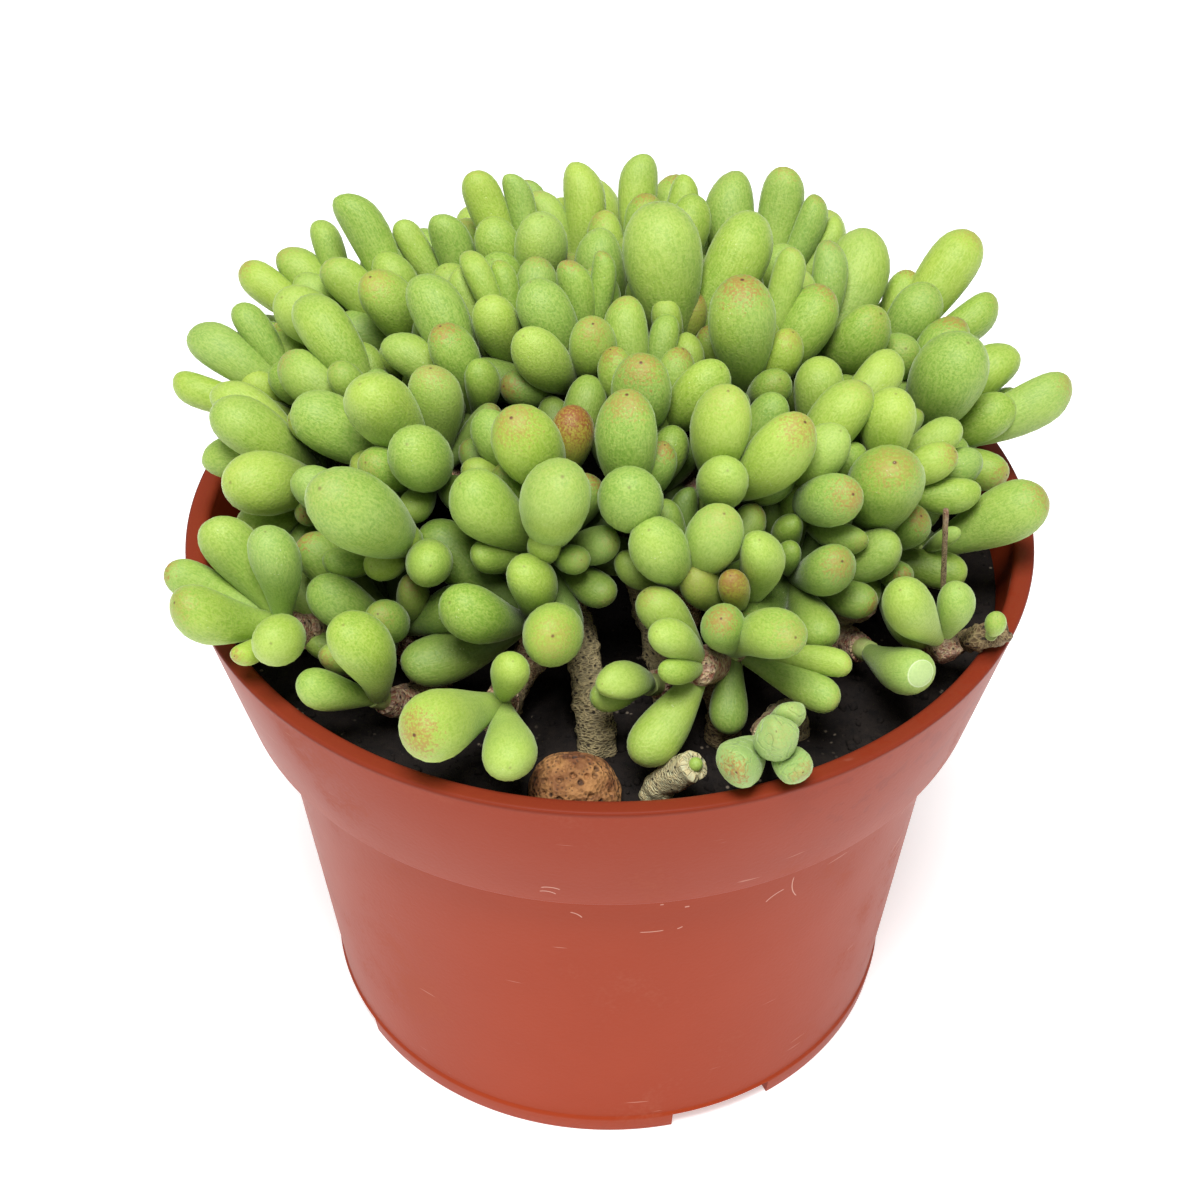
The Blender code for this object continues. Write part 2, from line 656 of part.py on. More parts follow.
def fixed_beads(plant, sprigs, routes, stubs):
    """What the leaves have to stay clear of, and the sprig that may touch it."""
    places, radii, allowed = [], [], []

    def add(points, radius, sprig):
        for p in points:
            places.append(p)
            radii.append(radius)
            allowed.append(sprig)

    for k, (sprig, route) in enumerate(zip(sprigs, routes)):
        dense = np.concatenate([route[:-1], (route[:-1] + route[1:]) / 2, route[-1:]])
        add(dense, WOOD_FOOT * 0.95, -1)
        for i in sprig:
            add(np.linspace(route[-1], plant.tips[i], 4)[1:], NECK_RADIUS * 1.2, k)
    for index, start, end, radius in stubs.values():
        add(np.linspace(start, end, 9), radius, -1)
    for index, start, end, radius in dry_tips(plant).values():
        add(np.linspace(start, end, 5)[2:], radius, -1)
    add(np.linspace((*CUT_STUB_FOOT, SOIL_TOP), CUT_STUB_END, 5), CUT_STUB_RADIUS, -1)
    pebble = np.array((*PEBBLE_AT, SOIL_TOP))
    add([pebble], PEBBLE_HALF[0], -1)
    return np.array(places), np.array(radii), np.array(allowed)


def clear_of_pot(places, radii):
    """How far each bead has to move to clear the pot's wall and the soil."""
    reach = np.hypot(places[:, 0], places[:, 1]) + 1e-9
    inner = POT_RIM_RADIUS - LIP_WIDTH
    side = reach - np.clip(reach, inner, POT_RIM_RADIUS)
    above = places[:, 2] - np.minimum(places[:, 2], POT_HEIGHT)
    apart = np.hypot(side, above)
    safe = np.maximum(apart, 1e-6)
    lack = np.maximum(radii + LEAF_CLEARANCE - apart, 0.0)
    out = np.where(apart > 1e-6, side / safe, 0.0) * lack / reach
    lift = np.where(apart > 1e-6, above / safe, 1.0) * lack
    sunk = np.maximum(SOIL_TOP + radii + LEAF_CLEARANCE - places[:, 2], 0.0)
    lift += np.where(reach < inner, sunk, 0.0)
    return np.stack([out * places[:, 0], out * places[:, 1], lift], axis=1)


def ease_apart(plant, sprigs, fixed):
    """Push leaves clear of each other and of what is fixed, near their marks."""
    beads_each = len(BEAD_STATIONS)
    count = len(plant.ends)
    leaf = np.repeat(np.arange(count), beads_each)
    rank = np.tile(np.arange(beads_each), count)
    sprig_of_tip = np.zeros(len(plant.tips), int)
    for k, sprig in enumerate(sprigs):
        sprig_of_tip[sprig] = k
    base = plant.tips[plant.owner]
    start = plant.ends.copy()
    start_half = plant.half.copy()
    reach = np.linalg.norm(start - base, axis=1)
    lightest = np.where(plant.firm > 0.5, 0.93, 0.55)
    places_fixed, radii_fixed, allowed = fixed
    for turn in range(RELAX_TURNS):
        places, radii = beads_of(base, plant.ends, plant.half)
        if turn % 12 == 0:
            gap2 = ((places[:, None, :] - places[None, :, :]) ** 2).sum(axis=2)
            near = gap2 < (radii[:, None] + radii[None, :] + 0.005) ** 2
            near &= leaf[:, None] < leaf[None, :]
            same = plant.owner[leaf][:, None] == plant.owner[leaf][None, :]
            near &= ~(same & ((rank < 2)[:, None] | (rank < 2)[None, :]))
            a, b = np.nonzero(near)
            slack = np.where(same[a, b], -0.0007, LEAF_CLEARANCE)
            gap2 = ((places[:, None, :] - places_fixed[None, :, :]) ** 2).sum(axis=2)
            near = gap2 < (radii[:, None] + radii_fixed[None, :] + 0.005) ** 2
            near &= sprig_of_tip[plant.owner[leaf]][:, None] != allowed[None, :]
            c, f = np.nonzero(near)
            share_a = plant.firm[leaf[b]] / (plant.firm[leaf[a]] + plant.firm[leaf[b]])
        delta = places[a] - places[b]
        apart = np.sqrt((delta ** 2).sum(axis=1)) + 1e-9
        lack = np.maximum(radii[a] + radii[b] + slack - apart, 0.0)
        push = delta / apart[:, None] * lack[:, None]
        move = np.zeros((count, 3))
        hits = np.zeros(count)
        np.add.at(move, leaf[a], push * share_a[:, None])
        np.add.at(move, leaf[b], -push * (1.0 - share_a)[:, None])
        np.add.at(hits, leaf[a], lack > 0)
        np.add.at(hits, leaf[b], lack > 0)
        delta = places[c] - places_fixed[f]
        apart = np.sqrt((delta ** 2).sum(axis=1)) + 1e-9
        lack_fixed = np.maximum(radii[c] + radii_fixed[f] + LEAF_CLEARANCE - apart, 0.0)
        np.add.at(move, leaf[c], delta / apart[:, None] * lack_fixed[:, None])
        np.add.at(hits, leaf[c], lack_fixed > 0)
        pot = clear_of_pot(places, radii)
        np.add.at(move, leaf, pot)
        np.add.at(hits, leaf, np.abs(pot).sum(axis=1) > 0)
        tight = np.zeros(count)
        np.maximum.at(tight, leaf[a], lack)
        np.maximum.at(tight, leaf[b], lack)
        np.maximum.at(tight, leaf[c], lack_fixed)
        if turn > 60:
            plant.half = np.maximum(plant.half - 0.05 * tight, start_half * lightest)
        plant.ends = plant.ends + move / np.maximum(hits, 1.0)[:, None] * 1.2
        drift = start - plant.ends
        seen = (drift * plant.sight).sum(axis=1)[:, None] * plant.sight
        ease = 0.10 if turn < RELAX_TURNS - RELAX_EASE else 0.01
        plant.ends = plant.ends + ((drift - seen) * ease + seen * 0.25 * ease) * plant.firm[:, None]
        axis = plant.ends - base
        length = np.sqrt((axis ** 2).sum(axis=1))
        want = np.clip(length, reach * 0.85, reach * 1.2)
        plant.ends = base + axis * (1.0 + (want / length - 1.0) * 0.5)[:, None]


def grow_plant():
    rng = np.random.default_rng(SEED)
    plant = Plant()
    grow_marked(plant)
    grow_back(plant, rng)
    fill_shoots(plant, rng)
    plant.settle()
    carried = carry(plant)
    sprigs = pair_up(plant, carried)
    routes, roots = lay_routes(plant, sprigs, carried)
    seat_bud(plant, sprigs, routes)
    stubs = stub_ends(plant, sprigs, routes)
    fixed = fixed_beads(plant, sprigs, routes, stubs)
    ease_apart(plant, sprigs, fixed)
    plant.tips = np.round(plant.tips, ROUND_TO)
    plant.ends = np.round(plant.ends, ROUND_TO)
    plant.half = np.round(plant.half, ROUND_TO)
    routes = [np.round(route, ROUND_TO) for route in routes]
    return plant, carried, sprigs, routes, roots, stubs


def clear_scene():
    for obj in list(bpy.data.objects):
        bpy.data.objects.remove(obj)


def material(name, colour, roughness, metallic=0.0):
    made = bpy.data.materials.new(name)
    made.use_nodes = True
    shader = made.node_tree.nodes["Principled BSDF"]
    shader.inputs["Base Color"].default_value = (*colour, 1.0)
    shader.inputs["Roughness"].default_value = roughness
    shader.inputs["Metallic"].default_value = metallic
    return made


def mesh_object(name, points, faces, finish=None):
    mesh = bpy.data.meshes.new(name)
    mesh.from_pydata([tuple(p) for p in points], [], faces)
    mesh.validate()
    made = bpy.data.objects.new(name, mesh)
    if finish:
        mesh.materials.append(finish)
    bpy.context.scene.collection.objects.link(made)
    return made


def turned(name, profile, sides, finish=None):
    """A closed turned body; the profile runs from the axis round to the axis."""
    points = [(0.0, 0.0, profile[0][1])]
    faces = []
    for radius, height in profile[1:-1]:
        for k in range(sides):
            turn = 2.0 * math.pi * k / sides
            points.append((radius * math.cos(turn), radius * math.sin(turn), height))
    points.append((0.0, 0.0, profile[-1][1]))
    rings = len(profile) - 2
    last = len(points) - 1
    for k in range(sides):
        after = (k + 1) % sides
        faces.append((0, 1 + after, 1 + k))
        for ring in range(rings - 1):
            low = 1 + ring * sides
            high = low + sides
            faces.append((low + k, low + after, high + after, high + k))
        top = 1 + (rings - 1) * sides
        faces.append((top + k, top + after, last))
    return mesh_object(name, points, faces, finish)


def ring_tube(name, centres, radii, sides, twist=0.0, pole=None, last_way=None):
    """A closed tube through the given centres, ending in a flat cap or in a point."""
    centres = [np.array(c, float) for c in centres]
    points, faces = [], []
    side = None
    for k, centre in enumerate(centres):
        before = centres[max(k - 1, 0)]
        after = centres[min(k + 1, len(centres) - 1)]
        way = unit(after - before)
        if k == len(centres) - 1 and last_way is not None:
            way = last_way
        if side is None:
            side = unit(np.cross(way, (0.31, 0.77, 0.17)))
        side = unit(side - way * (side @ way))
        other = np.cross(way, side)
        for j in range(sides):
            turn = twist + 2.0 * math.pi * j / sides
            points.append(centre + (side * math.cos(turn) + other * math.sin(turn)) * radii[k])
    for k in range(len(centres) - 1):
        low, high = k * sides, (k + 1) * sides
        for j in range(sides):
            after = (j + 1) % sides
            faces.append((low + j, low + after, high + after, high + j))
    faces.append(tuple(reversed(range(sides))))
    top = (len(centres) - 1) * sides
    if pole is None:
        faces.append(tuple(range(top, top + sides)))
    else:
        points.append(np.array(pole))
        for j in range(sides):
            faces.append((top + j, top + (j + 1) % sides, len(points) - 1))
    return mesh_object(name, points, faces)


def as_plain(obj, name, finish):
    """The object with its modifiers applied, as a new object."""
    seen = obj.evaluated_get(bpy.context.evaluated_depsgraph_get())
    mesh = bpy.data.meshes.new_from_object(seen)
    mesh.name = name
    mesh.materials.clear()
    mesh.materials.append(finish)
    made = bpy.data.objects.new(name, mesh)
    bpy.context.scene.collection.objects.link(made)
    return made


def boolean_with(base, parts, operation, name, finish, solver="EXACT"):
    """Join a body with a collection of others, or cut them out, and drop what was used."""
    group = bpy.data.collections.new(name + "_parts")
    bpy.context.scene.collection.children.link(group)
    for part in parts:
        group.objects.link(part)
    step = base.modifiers.new("join", "BOOLEAN")
    step.operation = operation
    step.operand_type = "COLLECTION"
    step.collection = group
    step.solver = solver
    made = as_plain(base, name, finish)
    for used in [base, *parts]:
        bpy.data.objects.remove(used)
    bpy.data.collections.remove(group)
    return made


def keep_one_body(obj):
    """Weld the join's seams and drop loose scraps and sealed hollows."""
    mesh = bmesh.new()
    mesh.from_mesh(obj.data)
    bmesh.ops.remove_doubles(mesh, verts=mesh.verts, dist=WELD_DISTANCE)
    bmesh.ops.dissolve_degenerate(mesh, edges=mesh.edges, dist=WELD_DISTANCE)
    bmesh.ops.triangulate(mesh, faces=mesh.faces)
    left = set(mesh.verts)
    bodies = []
    while left:
        start = left.pop()
        body, edge_of = {start}, [start]
        while edge_of:
            for edge in edge_of.pop().link_edges:
                for v in edge.verts:
                    if v in left:
                        left.remove(v)
                        body.add(v)
                        edge_of.append(v)
        bodies.append(body)
    bodies.sort(key=len)
    for body in bodies[:-1]:
        bmesh.ops.delete(mesh, geom=list(body), context="VERTS")
    mesh.to_mesh(obj.data)
    mesh.free()
    return obj


def wall_radius(height):
    """The pot's outer radius at a height, between its foot and its collar."""
    top = POT_HEIGHT - COLLAR_DEPTH
    share = (height - FOOT_HEIGHT) / (top - FOOT_HEIGHT)
    return FOOT_RADIUS + (COLLAR_BOTTOM_RADIUS - COLLAR_STEP - FOOT_RADIUS) * share


def inner_radius(height):
    """The pot's inner radius at a height, below the collar's shelf or from it up."""
    shelf = POT_HEIGHT - COLLAR_DEPTH + WALL
    if height < shelf:
        return wall_radius(height) - WALL
    low = COLLAR_BOTTOM_RADIUS - WALL
    share = (height - shelf) / (COLLAR_DEPTH - WALL - LIP_DEPTH)
    return low + (POT_RIM_RADIUS - LIP_WIDTH - RIM_ROUND - low) * min(share, 1.0)


def make_pot(finish):
    """A thin-walled pot: deep collar that steps in, tapered body and a notched foot ring."""
    collar = POT_HEIGHT - COLLAR_DEPTH
    shelf = collar + WALL
    floor_top = FOOT_HEIGHT + FLOOR_THICKNESS
    inner_foot = FOOT_RADIUS - 1.2 * WALL
    profile = [
        (0.0, FOOT_HEIGHT),
        (inner_foot, FOOT_HEIGHT),
        (inner_foot, 0.0),
        (FOOT_RADIUS, 0.0),
        (FOOT_RADIUS + FOOT_LIP, FOOT_HEIGHT),
        (FOOT_RADIUS + FOOT_LIP * 0.2, FOOT_HEIGHT + FOOT_LIP),
        (wall_radius(collar), collar),
        (COLLAR_BOTTOM_RADIUS, collar + RIM_ROUND * 0.5),
        (POT_RIM_RADIUS, POT_HEIGHT - RIM_ROUND),
        (POT_RIM_RADIUS - RIM_ROUND, POT_HEIGHT),
        (POT_RIM_RADIUS - LIP_WIDTH + RIM_ROUND, POT_HEIGHT - RIM_ROUND * 0.5),
        (POT_RIM_RADIUS - LIP_WIDTH, POT_HEIGHT - RIM_ROUND * 1.5),
        (inner_radius(POT_HEIGHT - LIP_DEPTH), POT_HEIGHT - LIP_DEPTH),
        (inner_radius(shelf), shelf),
        (wall_radius(shelf) - WALL, shelf),
        (inner_radius(floor_top), floor_top),
        (0.0, floor_top),
    ]
    body = turned("pot_body", profile, POT_SIDES)
    cutters = []
    for k in range(NOTCH_COUNT):
        turn = NOTCH_TURN + 2.0 * math.pi * k / NOTCH_COUNT
        bpy.ops.mesh.primitive_cube_add(size=1.0)
        box = bpy.context.object
        box.data.transform(Matrix.Diagonal((NOTCH_DEPTH, NOTCH_WIDTH, 2.0 * FOOT_HEIGHT - 0.0002, 1.0)))
        place = Vector((FOOT_RADIUS * math.cos(turn), FOOT_RADIUS * math.sin(turn), 0.0))
        box.data.transform(Matrix.Translation(place) @ Matrix.Rotation(turn, 4, "Z"))
        cutters.append(box)
    for k in range(DRAIN_COUNT):
        turn = 2.0 * math.pi * (k + 0.5) / DRAIN_COUNT
        bpy.ops.mesh.primitive_cylinder_add(vertices=10, radius=DRAIN_RADIUS, depth=4.0 * FLOOR_THICKNESS)
        hole = bpy.context.object
        place = (DRAIN_CIRCLE * math.cos(turn), DRAIN_CIRCLE * math.sin(turn), FOOT_HEIGHT)
        hole.data.transform(Matrix.Translation(place))
        cutters.append(hole)
    pot = boolean_with(body, cutters, "DIFFERENCE", "pot", finish)
    return keep_one_body(pot)


def make_soil(finish, feet):
    """The soil fills the pot to just below the rim, with a plain hole for each stem."""
    low = FOOT_HEIGHT + FLOOR_THICKNESS + TOUCH_GAP
    shelf = POT_HEIGHT - COLLAR_DEPTH + WALL
    room = TOUCH_GAP * 1.15
    profile = [
        (0.0, low),
        (inner_radius(low) - room, low),
        (wall_radius(shelf) - WALL - room, shelf + TOUCH_GAP),
        (inner_radius(shelf) - room, shelf + TOUCH_GAP),
        (inner_radius(SOIL_TOP) - room, SOIL_TOP),
        (0.0, SOIL_TOP),
    ]
    body = turned("soil_body", profile, POT_SIDES)
    cutters = []
    for (x, y), radius in feet:
        across = (radius + TOUCH_GAP) / math.cos(math.pi / HOLE_SIDES)
        bpy.ops.mesh.primitive_cylinder_add(vertices=HOLE_SIDES, radius=across, depth=2.0 * HOLE_DEPTH)
        hole = bpy.context.object
        hole.data.transform(Matrix.Translation((x, y, SOIL_TOP)))
        cutters.append(hole)
    soil = boolean_with(body, cutters, "DIFFERENCE", "soil", finish)
    return keep_one_body(soil)


def make_pebble(finish):
    """A rounded, lumpy pebble that lies on the soil on a small flat."""
    bpy.ops.mesh.primitive_ico_sphere_add(subdivisions=3, radius=1.0)
    pebble = bpy.context.object
    pebble.name = "pebble"
    pebble.data.name = "pebble"
    flat = SOIL_TOP + TOUCH_GAP
    for v in pebble.data.vertices:
        x, y, z = v.co
        swell = 1.0 + 0.05 * math.sin(3.1 * x + 1.0) * math.cos(2.3 * y) + 0.03 * math.sin(5.0 * z + 2.0 * x)
        height = SOIL_TOP + PEBBLE_HALF[2] * 0.18 + z * swell * PEBBLE_HALF[2] * 0.8
        v.co = (
            PEBBLE_AT[0] + x * swell * PEBBLE_HALF[0],
            PEBBLE_AT[1] + y * swell * PEBBLE_HALF[1],
            height,
        )
    mesh = bmesh.new()
    mesh.from_mesh(pebble.data)
    cut = mesh.verts[:] + mesh.edges[:] + mesh.faces[:]
    bmesh.ops.bisect_plane(mesh, geom=cut, plane_co=(0, 0, flat), plane_no=(0, 0, -1), clear_outer=True)
    bmesh.ops.holes_fill(mesh, edges=[e for e in mesh.edges if e.is_boundary])
    bmesh.ops.triangulate(mesh, faces=mesh.faces)
    mesh.to_mesh(pebble.data)
    mesh.free()
    pebble.data.materials.append(finish)
    return pebble


def beyond(limits, reach, half):
    """How far a leaf goes on past the middle of its fat end: by half widths, or less if short."""
    return min(limits[0] * half, limits[1] * reach)


def leaf_body(name, tip, end, half, twist):
    """One egg-shaped leaf: a narrow root sunk in the growing tip, widest near its end."""
    reach = np.linalg.norm(end - tip)
    way = (end - tip) / reach
    centres = [tip + way * reach * s for s in LEAF_STATIONS]
    centres.append(end + way * beyond(LEAF_SHOULDER, reach, half))
    radii = [half * s for s in LEAF_SHARES]
    sides = SMALL_LEAF_SIDES if half < SMALL_LEAF else LEAF_SIDES
    return ring_tube(name, centres, radii, sides, twist, end + way * beyond(LEAF_POINT, reach, half))


def make_sprig(name, plant, sprig, route, finish):
    """A leafy shoot, or two on one green fork, fused into one body."""
    start = route[-1]
    way = neck_way(plant, sprig, start)
    low = start + way * TOUCH_GAP
    parts = []
    if len(sprig) > 1:
        high = start + way * (FORK_START + TOUCH_GAP)
        parts.append(ring_tube("fork", [low, high], [NECK_RADIUS * 1.1] * 2, STEM_SIDES, 0.1))
        low = start + way * FORK_START
    for i in sprig:
        tip = plant.tips[i]
        if plant.names[i] == "rim_bud":
            low, high = tip - bud_way() * BUD_NECK, tip + bud_way() * BUD_NECK
            parts.append(ring_tube("neck", [low, high], [NECK_RADIUS * 0.5] * 2, STEM_SIDES))
        else:
            high = tip + unit(tip - low) * NECK_END
            parts.append(ring_tube("neck", [low, high], [NECK_RADIUS] * 2, STEM_SIDES, 0.2 * i))
        for k in np.nonzero(plant.owner == i)[0]:
            parts.append(leaf_body("leaf", tip, plant.ends[k], plant.half[k], 0.37 * k))
        for index, start, end, radius in dry_tips(plant).values():
            if index == i:
                parts.append(ring_tube("dry", [start, end], [radius * 1.05, radius], STEM_SIDES, 0.5))
    made = boolean_with(parts[0], parts[1:], "UNION", name, finish)
    return keep_one_body(made)


def path_steps(length, over_rim):
    """The inner points of a route that a branch of this length needs."""
    if over_rim:
        return [2, 4, 6]
    if length < SHORT_BRANCH:
        return []
    return [4] if length < 2 * SHORT_BRANCH else [3, 6]


def make_stem(name, foot, branches, stubs, finish):
    """A woody stem: its foot in the soil and a branch, with its last way, up to each neck."""
    x, y = foot
    low = SOIL_TOP - HOLE_DEPTH + TOUCH_GAP
    high = SOIL_TOP + FOOT_COLLAR
    ends = [WOOD_FOOT, WOOD_FOOT * WOOD_TAPER]
    parts = [ring_tube("foot", [(x, y, low), (x, y, high)], ends, FOOT_SIDES, 0.05)]
    for k, (route, way, root, radius) in enumerate(branches):
        length = np.linalg.norm(route[-1] - route[0])
        path = [route[0], *route[path_steps(length, radius < WOOD_TIP)], route[-1]]
        if root is None:
            path.insert(0, np.array([x, y, high - 2 * FOOT_COLLAR]))
        radii = np.linspace(WOOD_FOOT * 0.9, radius, len(path))
        if radius < WOOD_TIP:
            radii[2:] = radius
        parts.append(ring_tube("branch", path, radii, STEM_SIDES, 0.3 + 0.4 * k, last_way=way))
    for start, end, radius in stubs:
        parts.append(ring_tube("stub", [start, end], [radius * WOOD_TAPER, radius], STEM_SIDES, 0.15))
    made = boolean_with(parts[0], parts[1:], "UNION", name, finish)
    return keep_one_body(made)


def main():
    clear_scene()
    terracotta = material("pot_plastic", (0.46, 0.085, 0.040), 0.42)
    earth = material("soil_peat", (0.012, 0.010, 0.009), 0.95)
    stone = material("pebble_stone", (0.42, 0.20, 0.075), 0.85)
    bark = material("stem_bark", (0.16, 0.12, 0.070), 0.80)
    green = material("leaf_green", (0.30, 0.50, 0.11), 0.48)
    plant, carried, sprigs, routes, roots, stubs = grow_plant()
    make_pot(terracotta)
    feet = [(foot, WOOD_FOOT) for foot, names in STEM_FEET.values()]
    feet.append((CUT_STUB_FOOT, CUT_STUB_RADIUS))
    make_soil(earth, feet)
    make_pebble(stone)
    for sprig, route in zip(sprigs, routes):
        make_sprig("leaves_" + plant.names[sprig[0]], plant, sprig, route, green)
    for stem, (foot, names) in STEM_FEET.items():
        mine = [k for k, sprig in enumerate(sprigs) if carried[plant.names[sprig[0]]] == stem]
        branches = []
        for k in mine:
            over_rim = plant.names[sprigs[k][0]] == "rim_bud"
            way = neck_way(plant, sprigs[k], routes[k][-1])
            if over_rim:
                way = unit(routes[k][-1] - routes[k][-2])
            branches.append((routes[k], way, roots[k], RIM_STEM_RADIUS if over_rim else WOOD_TIP))
        dry = [(a, b, r) for k, a, b, r in stubs.values() if k in mine]
        make_stem(stem, foot, branches, dry, bark)
    foot = (*CUT_STUB_FOOT, SOIL_TOP - HOLE_DEPTH + TOUCH_GAP)
    middle = (*CUT_STUB_FOOT, SOIL_TOP + FOOT_COLLAR)
    radii = [CUT_STUB_RADIUS * WOOD_TAPER, CUT_STUB_RADIUS * WOOD_TAPER, CUT_STUB_RADIUS]
    cut = ring_tube("cut_stub", [foot, middle, CUT_STUB_END], radii, FOOT_SIDES)
    cut.data.materials.append(bark)
    for obj in bpy.data.objects:
        obj.data.shade_smooth()
        obj.data.set_sharp_from_angle(angle=SHARP_EDGE)


main()
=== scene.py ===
# %% [markdown]
# # A potted succulent with egg-shaped leaves
# The real thing is a low terracotta-red nursery pot, filled with dark soil. Knobby brown
# stems stand in the soil and lean out over it, and every one ends in shoots of plump,
# egg-shaped leaves that crowd together into a dome wider than the pot.
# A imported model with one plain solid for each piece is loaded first. It is the fixed frame:
# nothing on it moves, and each finer piece below stands where its solid stands.

import math

import bmesh
import bpy
import numpy as np
from mathutils import Matrix, Vector


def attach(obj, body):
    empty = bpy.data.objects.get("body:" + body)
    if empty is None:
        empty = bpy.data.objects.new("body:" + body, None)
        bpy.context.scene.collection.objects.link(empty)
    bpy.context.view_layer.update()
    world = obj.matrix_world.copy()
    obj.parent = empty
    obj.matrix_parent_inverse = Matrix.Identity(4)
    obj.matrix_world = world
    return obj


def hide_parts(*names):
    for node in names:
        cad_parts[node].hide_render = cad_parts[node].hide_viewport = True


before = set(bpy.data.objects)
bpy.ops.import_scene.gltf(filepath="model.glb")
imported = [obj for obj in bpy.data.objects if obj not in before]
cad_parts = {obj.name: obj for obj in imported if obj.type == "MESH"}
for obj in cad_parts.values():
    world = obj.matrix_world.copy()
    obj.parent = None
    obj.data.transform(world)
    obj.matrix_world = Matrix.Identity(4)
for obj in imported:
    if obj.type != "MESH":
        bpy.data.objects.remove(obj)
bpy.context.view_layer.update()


# %% [markdown]
# ## The camera
# The photograph looks down on the pot from the front, at 40 degrees. The ellipses of the
# rim, collar and foot gave the place and the focal length, in pixels of a frame that is
# 1200 wide and 1187 high. The same numbers serve again below: a leaf is placed by the pixel
# under which its fat end lies. So the view is kept as a few named values.

# %% The camera at the photograph's angle
FRAME_SIZE = (1200.0, 1187.0)
VIEW_CENTRE = (600.0, 593.5)
VIEW_FOCAL = 2404.9
VIEW_FROM = (-0.0016, -0.3145, 0.3449)
VIEW_TILT = math.radians(40.0)

scene = bpy.context.scene
eye = bpy.data.cameras.new("photo_view")
eye.sensor_fit = "HORIZONTAL"
eye.sensor_width = 36.0
eye.lens = 36.0 * VIEW_FOCAL / FRAME_SIZE[0]
eye.clip_start = 0.02
camera = bpy.data.objects.new("photo_view", eye)
camera.location = VIEW_FROM
camera.rotation_euler = (math.pi / 2 - VIEW_TILT, 0.0, 0.0)
scene.collection.objects.link(camera)
scene.camera = camera
scene.view_settings.view_transform = "Standard"
print("lens", round(eye.lens, 2), "mm")


# %% [markdown]
# ## Sums on sockets
# Shaders and geometry trees are both webs of nodes, and a formula in them takes a node for
# each sign. A small class wraps one socket, so that a formula can be typed as usual:
# `1 - mask` adds a Math node and returns its result. Colours never go through a Math
# node, which would turn them grey: they are mixed. Every other node comes from `add`.

# %% A class that wraps a socket
class Wire:
    """One socket of a tree, which takes part in sums and products."""

    def __init__(self, socket):
        self.socket = socket
        self.tree = socket.id_data

    def math(self, operation, *others):
        return add(self.tree, "ShaderNodeMath", {"operation": operation}, dict(enumerate((self, *others))))

    def __add__(self, other):
        return self.math("ADD", other)

    def __sub__(self, other):
        return self.math("SUBTRACT", other)

    def __rsub__(self, other):
        return add(self.tree, "ShaderNodeMath", {"operation": "SUBTRACT"}, {0: other, 1: self})

    def __mul__(self, other):
        return self.math("MULTIPLY", other)

    def __truediv__(self, other):
        return self.math("DIVIDE", other)

    def __pow__(self, other):
        return self.math("POWER", other)

    __radd__ = __add__
    __rmul__ = __mul__

    def clamp(self, low, high):
        """0 up to low, 1 from high on, and a smooth step between them."""
        settings = {"interpolation_type": "SMOOTHSTEP"}
        inputs = {"Value": self, "From Min": low, "From Max": high}
        return add(self.tree, "ShaderNodeMapRange", settings, inputs)

    def move(self, operation, other):
        """A Vector Math node between this vector and another one or a number."""
        key = "Scale" if operation == "SCALE" else 1
        return add(self.tree, "ShaderNodeVectorMath", {"operation": operation}, {0: self, key: other})


def add(tree, kind, settings=None, inputs=None, out=0):
    """A new node: its settings first, then the values or links of its sockets."""
    node = tree.nodes.new(kind)
    for name, value in (settings or {}).items():
        if name == "curve":
            points = node.mapping.curves[0].points
            for place in value[1:-1]:
                points.new(*place)
            for point, place in zip(points, value):
                point.location = place
            node.mapping.update()
        else:
            setattr(node, name, value)
    for key, value in (inputs or {}).items():
        for one in value if isinstance(value, list) else [value]:
            if isinstance(one, Wire):
                tree.links.new(one.socket, node.inputs[key])
            else:
                node.inputs[key].default_value = one
    return Wire(node.outputs[out])


def mixed(mask, low, high):
    """The colour low where the mask is 0 and high where it is 1."""
    picked = [(*c, 1.0) if isinstance(c, tuple) else c for c in (low, high)]
    tree = next(w.tree for w in (mask, low, high) if isinstance(w, Wire))
    return add(tree, "ShaderNodeMix", {"data_type": "RGBA"}, {0: mask, 6: picked[0], 7: picked[1]}, 2)


def noise(tree, place, scale, detail=3.0, rough=0.5, out=0):
    inputs = {"Vector": place, "Scale": scale, "Detail": detail, "Roughness": rough}
    return add(tree, "ShaderNodeTexNoise", {}, inputs, out)


def cells(tree, place, scale, feature="F1", loose=1.0):
    inputs = {"Vector": place, "Scale": scale, "Randomness": loose}
    return add(tree, "ShaderNodeTexVoronoi", {"feature": feature}, inputs)


def dots(tree, place, scale, low, high, feature="F1", loose=1.0):
    """1 at the middle of each cell, or along its edges, and 0 from high on."""
    return 1 - cells(tree, place, scale, feature, loose).clamp(low, high)


def wobble(tree, place, scale, detail=2.0):
    """A vector that varies from place to place, about nought."""
    return noise(tree, place, scale, detail, out=1).move("SUBTRACT", (0.5, 0.5, 0.5))


def parts_of(vector):
    """The three numbers of a vector."""
    x = add(vector.tree, "ShaderNodeSeparateXYZ", {}, {0: vector})
    return [Wire(socket) for socket in x.socket.node.outputs]


def vector_of(tree, x, y, z):
    return add(tree, "ShaderNodeCombineXYZ", {}, {0: x, 1: y, 2: z})


# %% [markdown]
# ## Starting a material
# Each finish starts the same way: a new material with its shader, whose fixed values
# are set on its own sockets, and the Object coordinates, which stay with the object.

